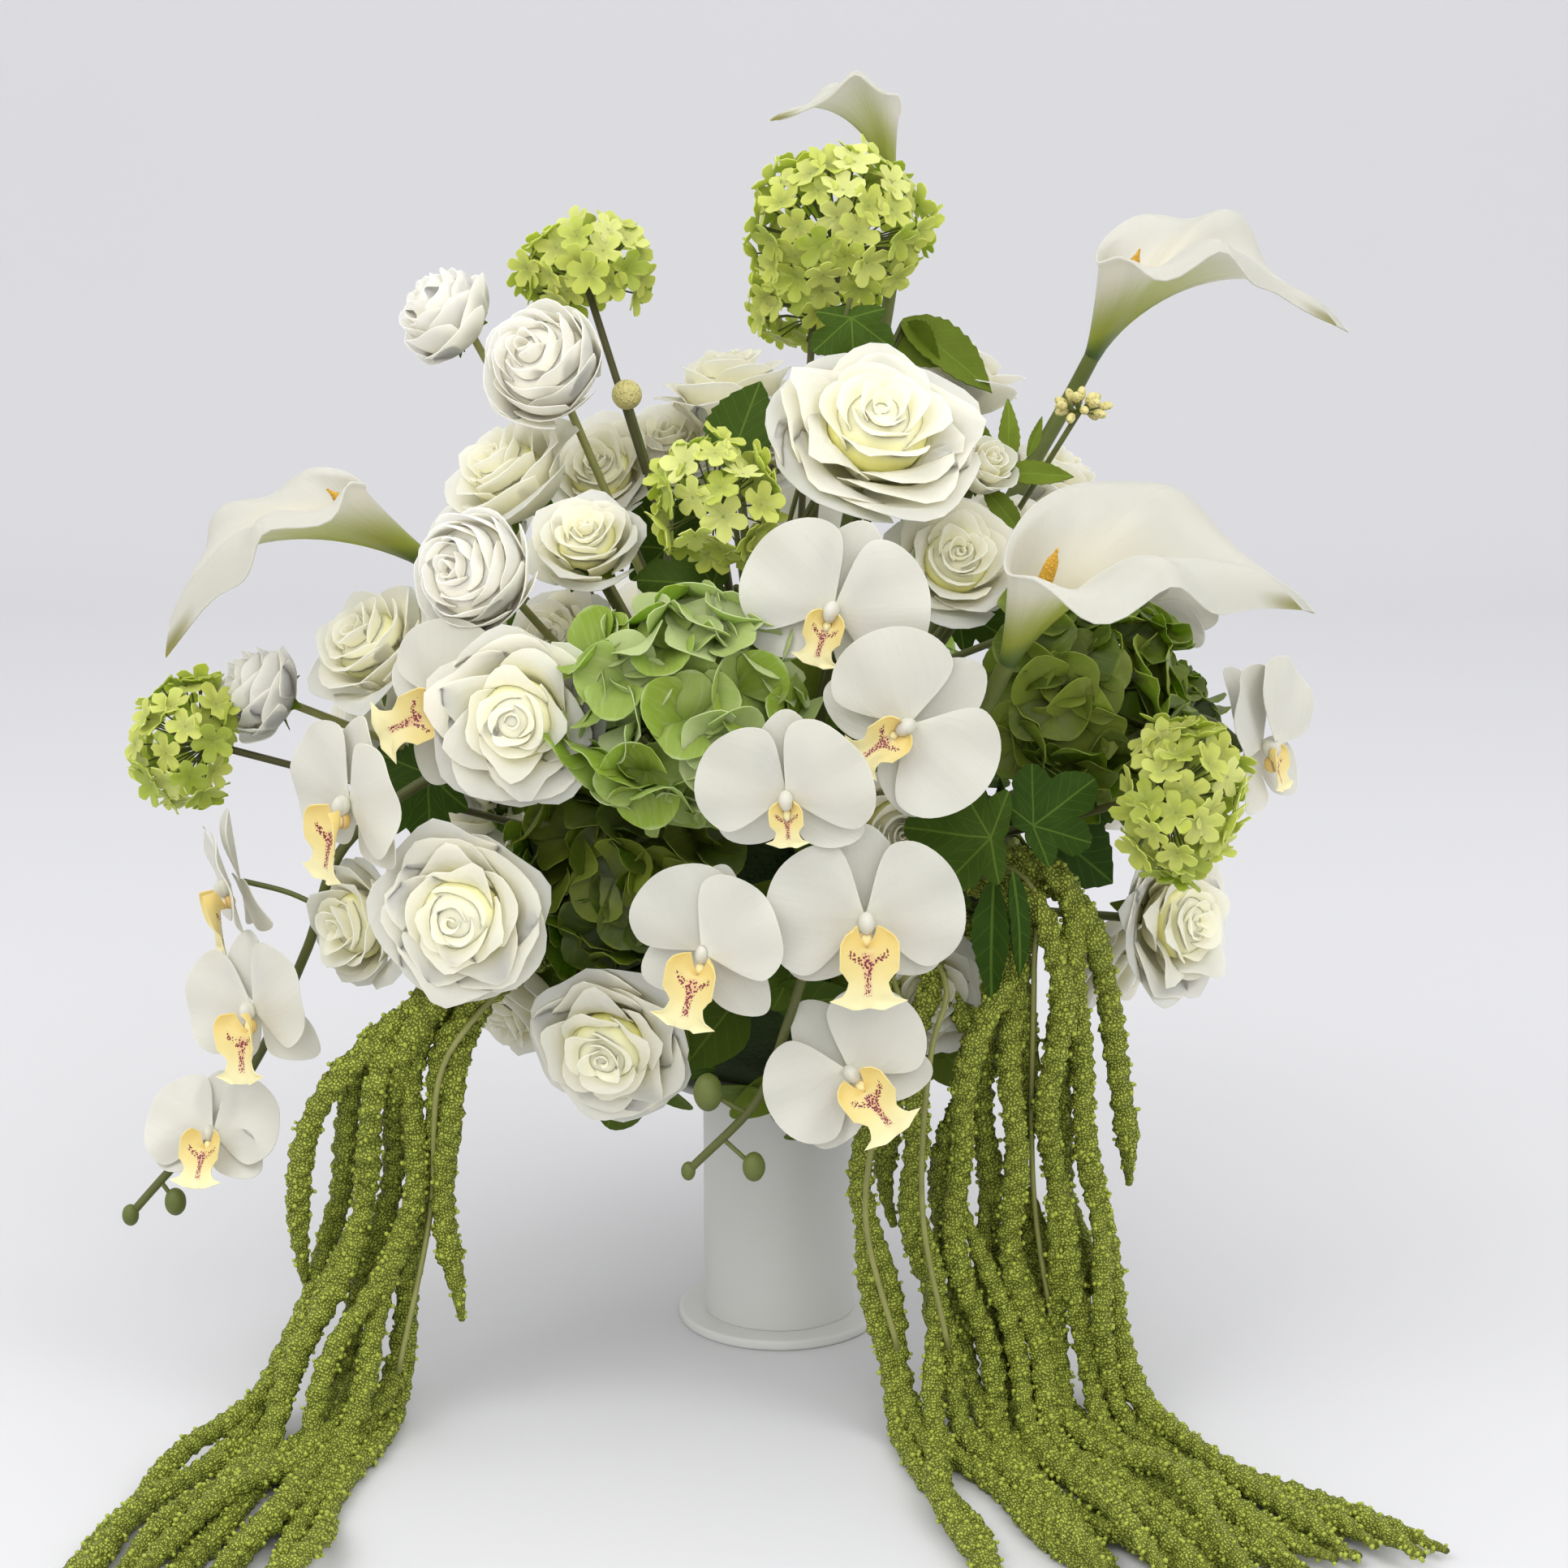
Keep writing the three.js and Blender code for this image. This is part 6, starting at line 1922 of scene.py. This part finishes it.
class CENTERPIECE_OT_amaranthus(bpy.types.Operator):
    """Adds the two falls of hanging amaranthus, rope by rope"""

    bl_idname = "centerpiece.amaranthus"
    bl_label = "Add Amaranthus"

    def execute(self, context):
        finishes = [amaranthus_material(), stem_material(), bare_stem_material()]
        for n, (name, fall) in enumerate(FALLS.items()):
            halves = ([], [])
            for i in range(len(fall["crests"])):
                seed = 20 * n + i + 1
                route = rope_route(fall, i)
                radius, offset = UPPER_STRAND
                halves[0].extend(strand(wound(route, seed, radius, offset), seed, radius))
                if i not in fall["tips"]:
                    radius, offset = LOWER_STRAND
                    halves[1].extend(strand(wound(route[3:], seed + 50, radius, offset), seed + 50, radius))
                if i in fall["bare"]:
                    bare = smooth_route(route[:5], 8) + (2, -12, 0)
                    halves[1].append(tube(bare, 1.5, 6, 0.0, 2))
            collar = np.asarray(fall["collar"], float)
            halves[0].extend(stems_from([collar], 5, 1))
            for half, solids in enumerate(halves, 1):
                piece(f"{name}_ropes_{half}", finishes, [name], solids=solids, sharp=180)
        return {"FINISHED"}


class CENTERPIECE_OT_stage(bpy.types.Operator):
    """Sets the pale floor that bends up into the backdrop, the soft lights and the photograph's camera"""

    bl_idname = "centerpiece.stage"
    bl_label = "Set Stage"

    def execute(self, context):
        scene = context.scene
        self.add_floor()
        self.add_lights()
        camera = bpy.data.cameras.new("Photo Camera")
        camera.sensor_width = SENSOR_WIDTH
        camera.lens = FOCAL_PIXELS / PHOTO_WIDTH * SENSOR_WIDTH
        camera.clip_end = 50
        holder = bpy.data.objects.new("Photo Camera", camera)
        holder.location = [value * MM for value in CAMERA_PLACE]
        holder.rotation_euler = (math.radians(90 - CAMERA_DOWN), 0, 0)
        scene.collection.objects.link(holder)
        scene.camera = holder
        scene.view_settings.view_transform = "Standard"
        scene.view_settings.look = "None"
        return {"FINISHED"}

    def add_floor(self):
        """The floor and the backdrop as one sheet, in metres."""
        bend_start, bend_radius, wall_height, near = 2.6, 1.6, 5.0, -5.0
        angles = np.linspace(0, math.pi / 2, 24)
        profile = [(near, 0.0)]
        profile += [(bend_start + bend_radius * math.sin(a), bend_radius * (1 - math.cos(a))) for a in angles]
        profile.append((bend_start + bend_radius, wall_height))
        xs = (-7.0, 7.0)
        points = [(x, y, z) for y, z in profile for x in xs]
        faces = [(2 * i, 2 * i + 1, 2 * i + 3, 2 * i + 2) for i in range(len(profile) - 1)]
        mesh = bpy.data.meshes.new("floor")
        mesh.from_pydata(points, [], faces)
        floor = bpy.data.objects.new("floor", mesh)
        bpy.context.scene.collection.objects.link(floor)
        make_active(floor)
        bpy.ops.object.shade_smooth()
        mesh.materials.append(floor_material())

    def add_lights(self):
        """A soft room and three wide lamps."""
        world = bpy.data.worlds.new("Soft Room")
        world.use_nodes = True
        world.node_tree.nodes["Background"].inputs["Color"].default_value = (0.985, 0.985, 1.0, 1)
        room = Nodes(world.node_tree)
        way = room.add("ShaderNodeTexCoord").outputs["Generated"]
        height = room.add("ShaderNodeSeparateXYZ", {0: way}).outputs[2]
        strength = world.node_tree.nodes["Background"].inputs["Strength"]
        room.feed(strength, room.between(height, 0.0, 1.0, *ROOM_LIGHT))
        bpy.context.scene.world = world
        for name, (place, aim, size, power) in LAMPS.items():
            light = bpy.data.lights.new(name, "AREA")
            light.shape = "DISK"
            light.size = size
            light.energy = power
            lamp = bpy.data.objects.new(name, light)
            lamp.location = place
            way = Vector(aim) - Vector(place)
            lamp.rotation_euler = way.to_track_quat("-Z", "Y").to_euler()
            bpy.context.scene.collection.objects.link(lamp)


OPERATORS = (
    CENTERPIECE_OT_stand,
    CENTERPIECE_OT_foam,
    CENTERPIECE_OT_amaranthus,
    CENTERPIECE_OT_callas,
    CENTERPIECE_OT_orchids,
    CENTERPIECE_OT_leaves,
    CENTERPIECE_OT_berries,
    CENTERPIECE_OT_roses,
    CENTERPIECE_OT_ranunculus,
    CENTERPIECE_OT_snowballs,
    CENTERPIECE_OT_hydrangeas,
    CENTERPIECE_OT_stage,
)


class CENTERPIECE_PT_panel(bpy.types.Panel):
    """The centerpiece's operators, sizes and colours"""

    bl_label = "Centerpiece"
    bl_idname = "CENTERPIECE_PT_panel"
    bl_space_type = "VIEW_3D"
    bl_region_type = "UI"
    bl_category = "Centerpiece"

    def draw(self, context):
        layout = self.layout
        for operator in OPERATORS:
            layout.operator(operator.bl_idname)
        for group in (context.scene.centerpiece_sizes, context.scene.centerpiece_colours):
            box = layout.box()
            for key in group.__annotations__:
                box.prop(group, key)


CLASSES = (CenterpieceSizes, CenterpieceColours, *OPERATORS, CENTERPIECE_PT_panel)


def register():
    for one in CLASSES:
        bpy.utils.register_class(one)
    bpy.types.Scene.centerpiece_sizes = bpy.props.PointerProperty(type=CenterpieceSizes)
    bpy.types.Scene.centerpiece_colours = bpy.props.PointerProperty(type=CenterpieceColours)


def unregister():
    del bpy.types.Scene.centerpiece_colours
    del bpy.types.Scene.centerpiece_sizes
    for one in reversed(CLASSES):
        bpy.utils.unregister_class(one)


def main():
    register()
    bpy.ops.centerpiece.stand()
    bpy.ops.centerpiece.foam()
    bpy.ops.centerpiece.amaranthus()
    bpy.ops.centerpiece.callas()
    bpy.ops.centerpiece.orchids()
    bpy.ops.centerpiece.leaves()
    bpy.ops.centerpiece.berries()
    bpy.ops.centerpiece.roses()
    bpy.ops.centerpiece.ranunculus()
    bpy.ops.centerpiece.snowballs()
    bpy.ops.centerpiece.hydrangeas()
    bpy.ops.centerpiece.stage()
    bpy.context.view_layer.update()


if __name__ == "__main__":
    main()
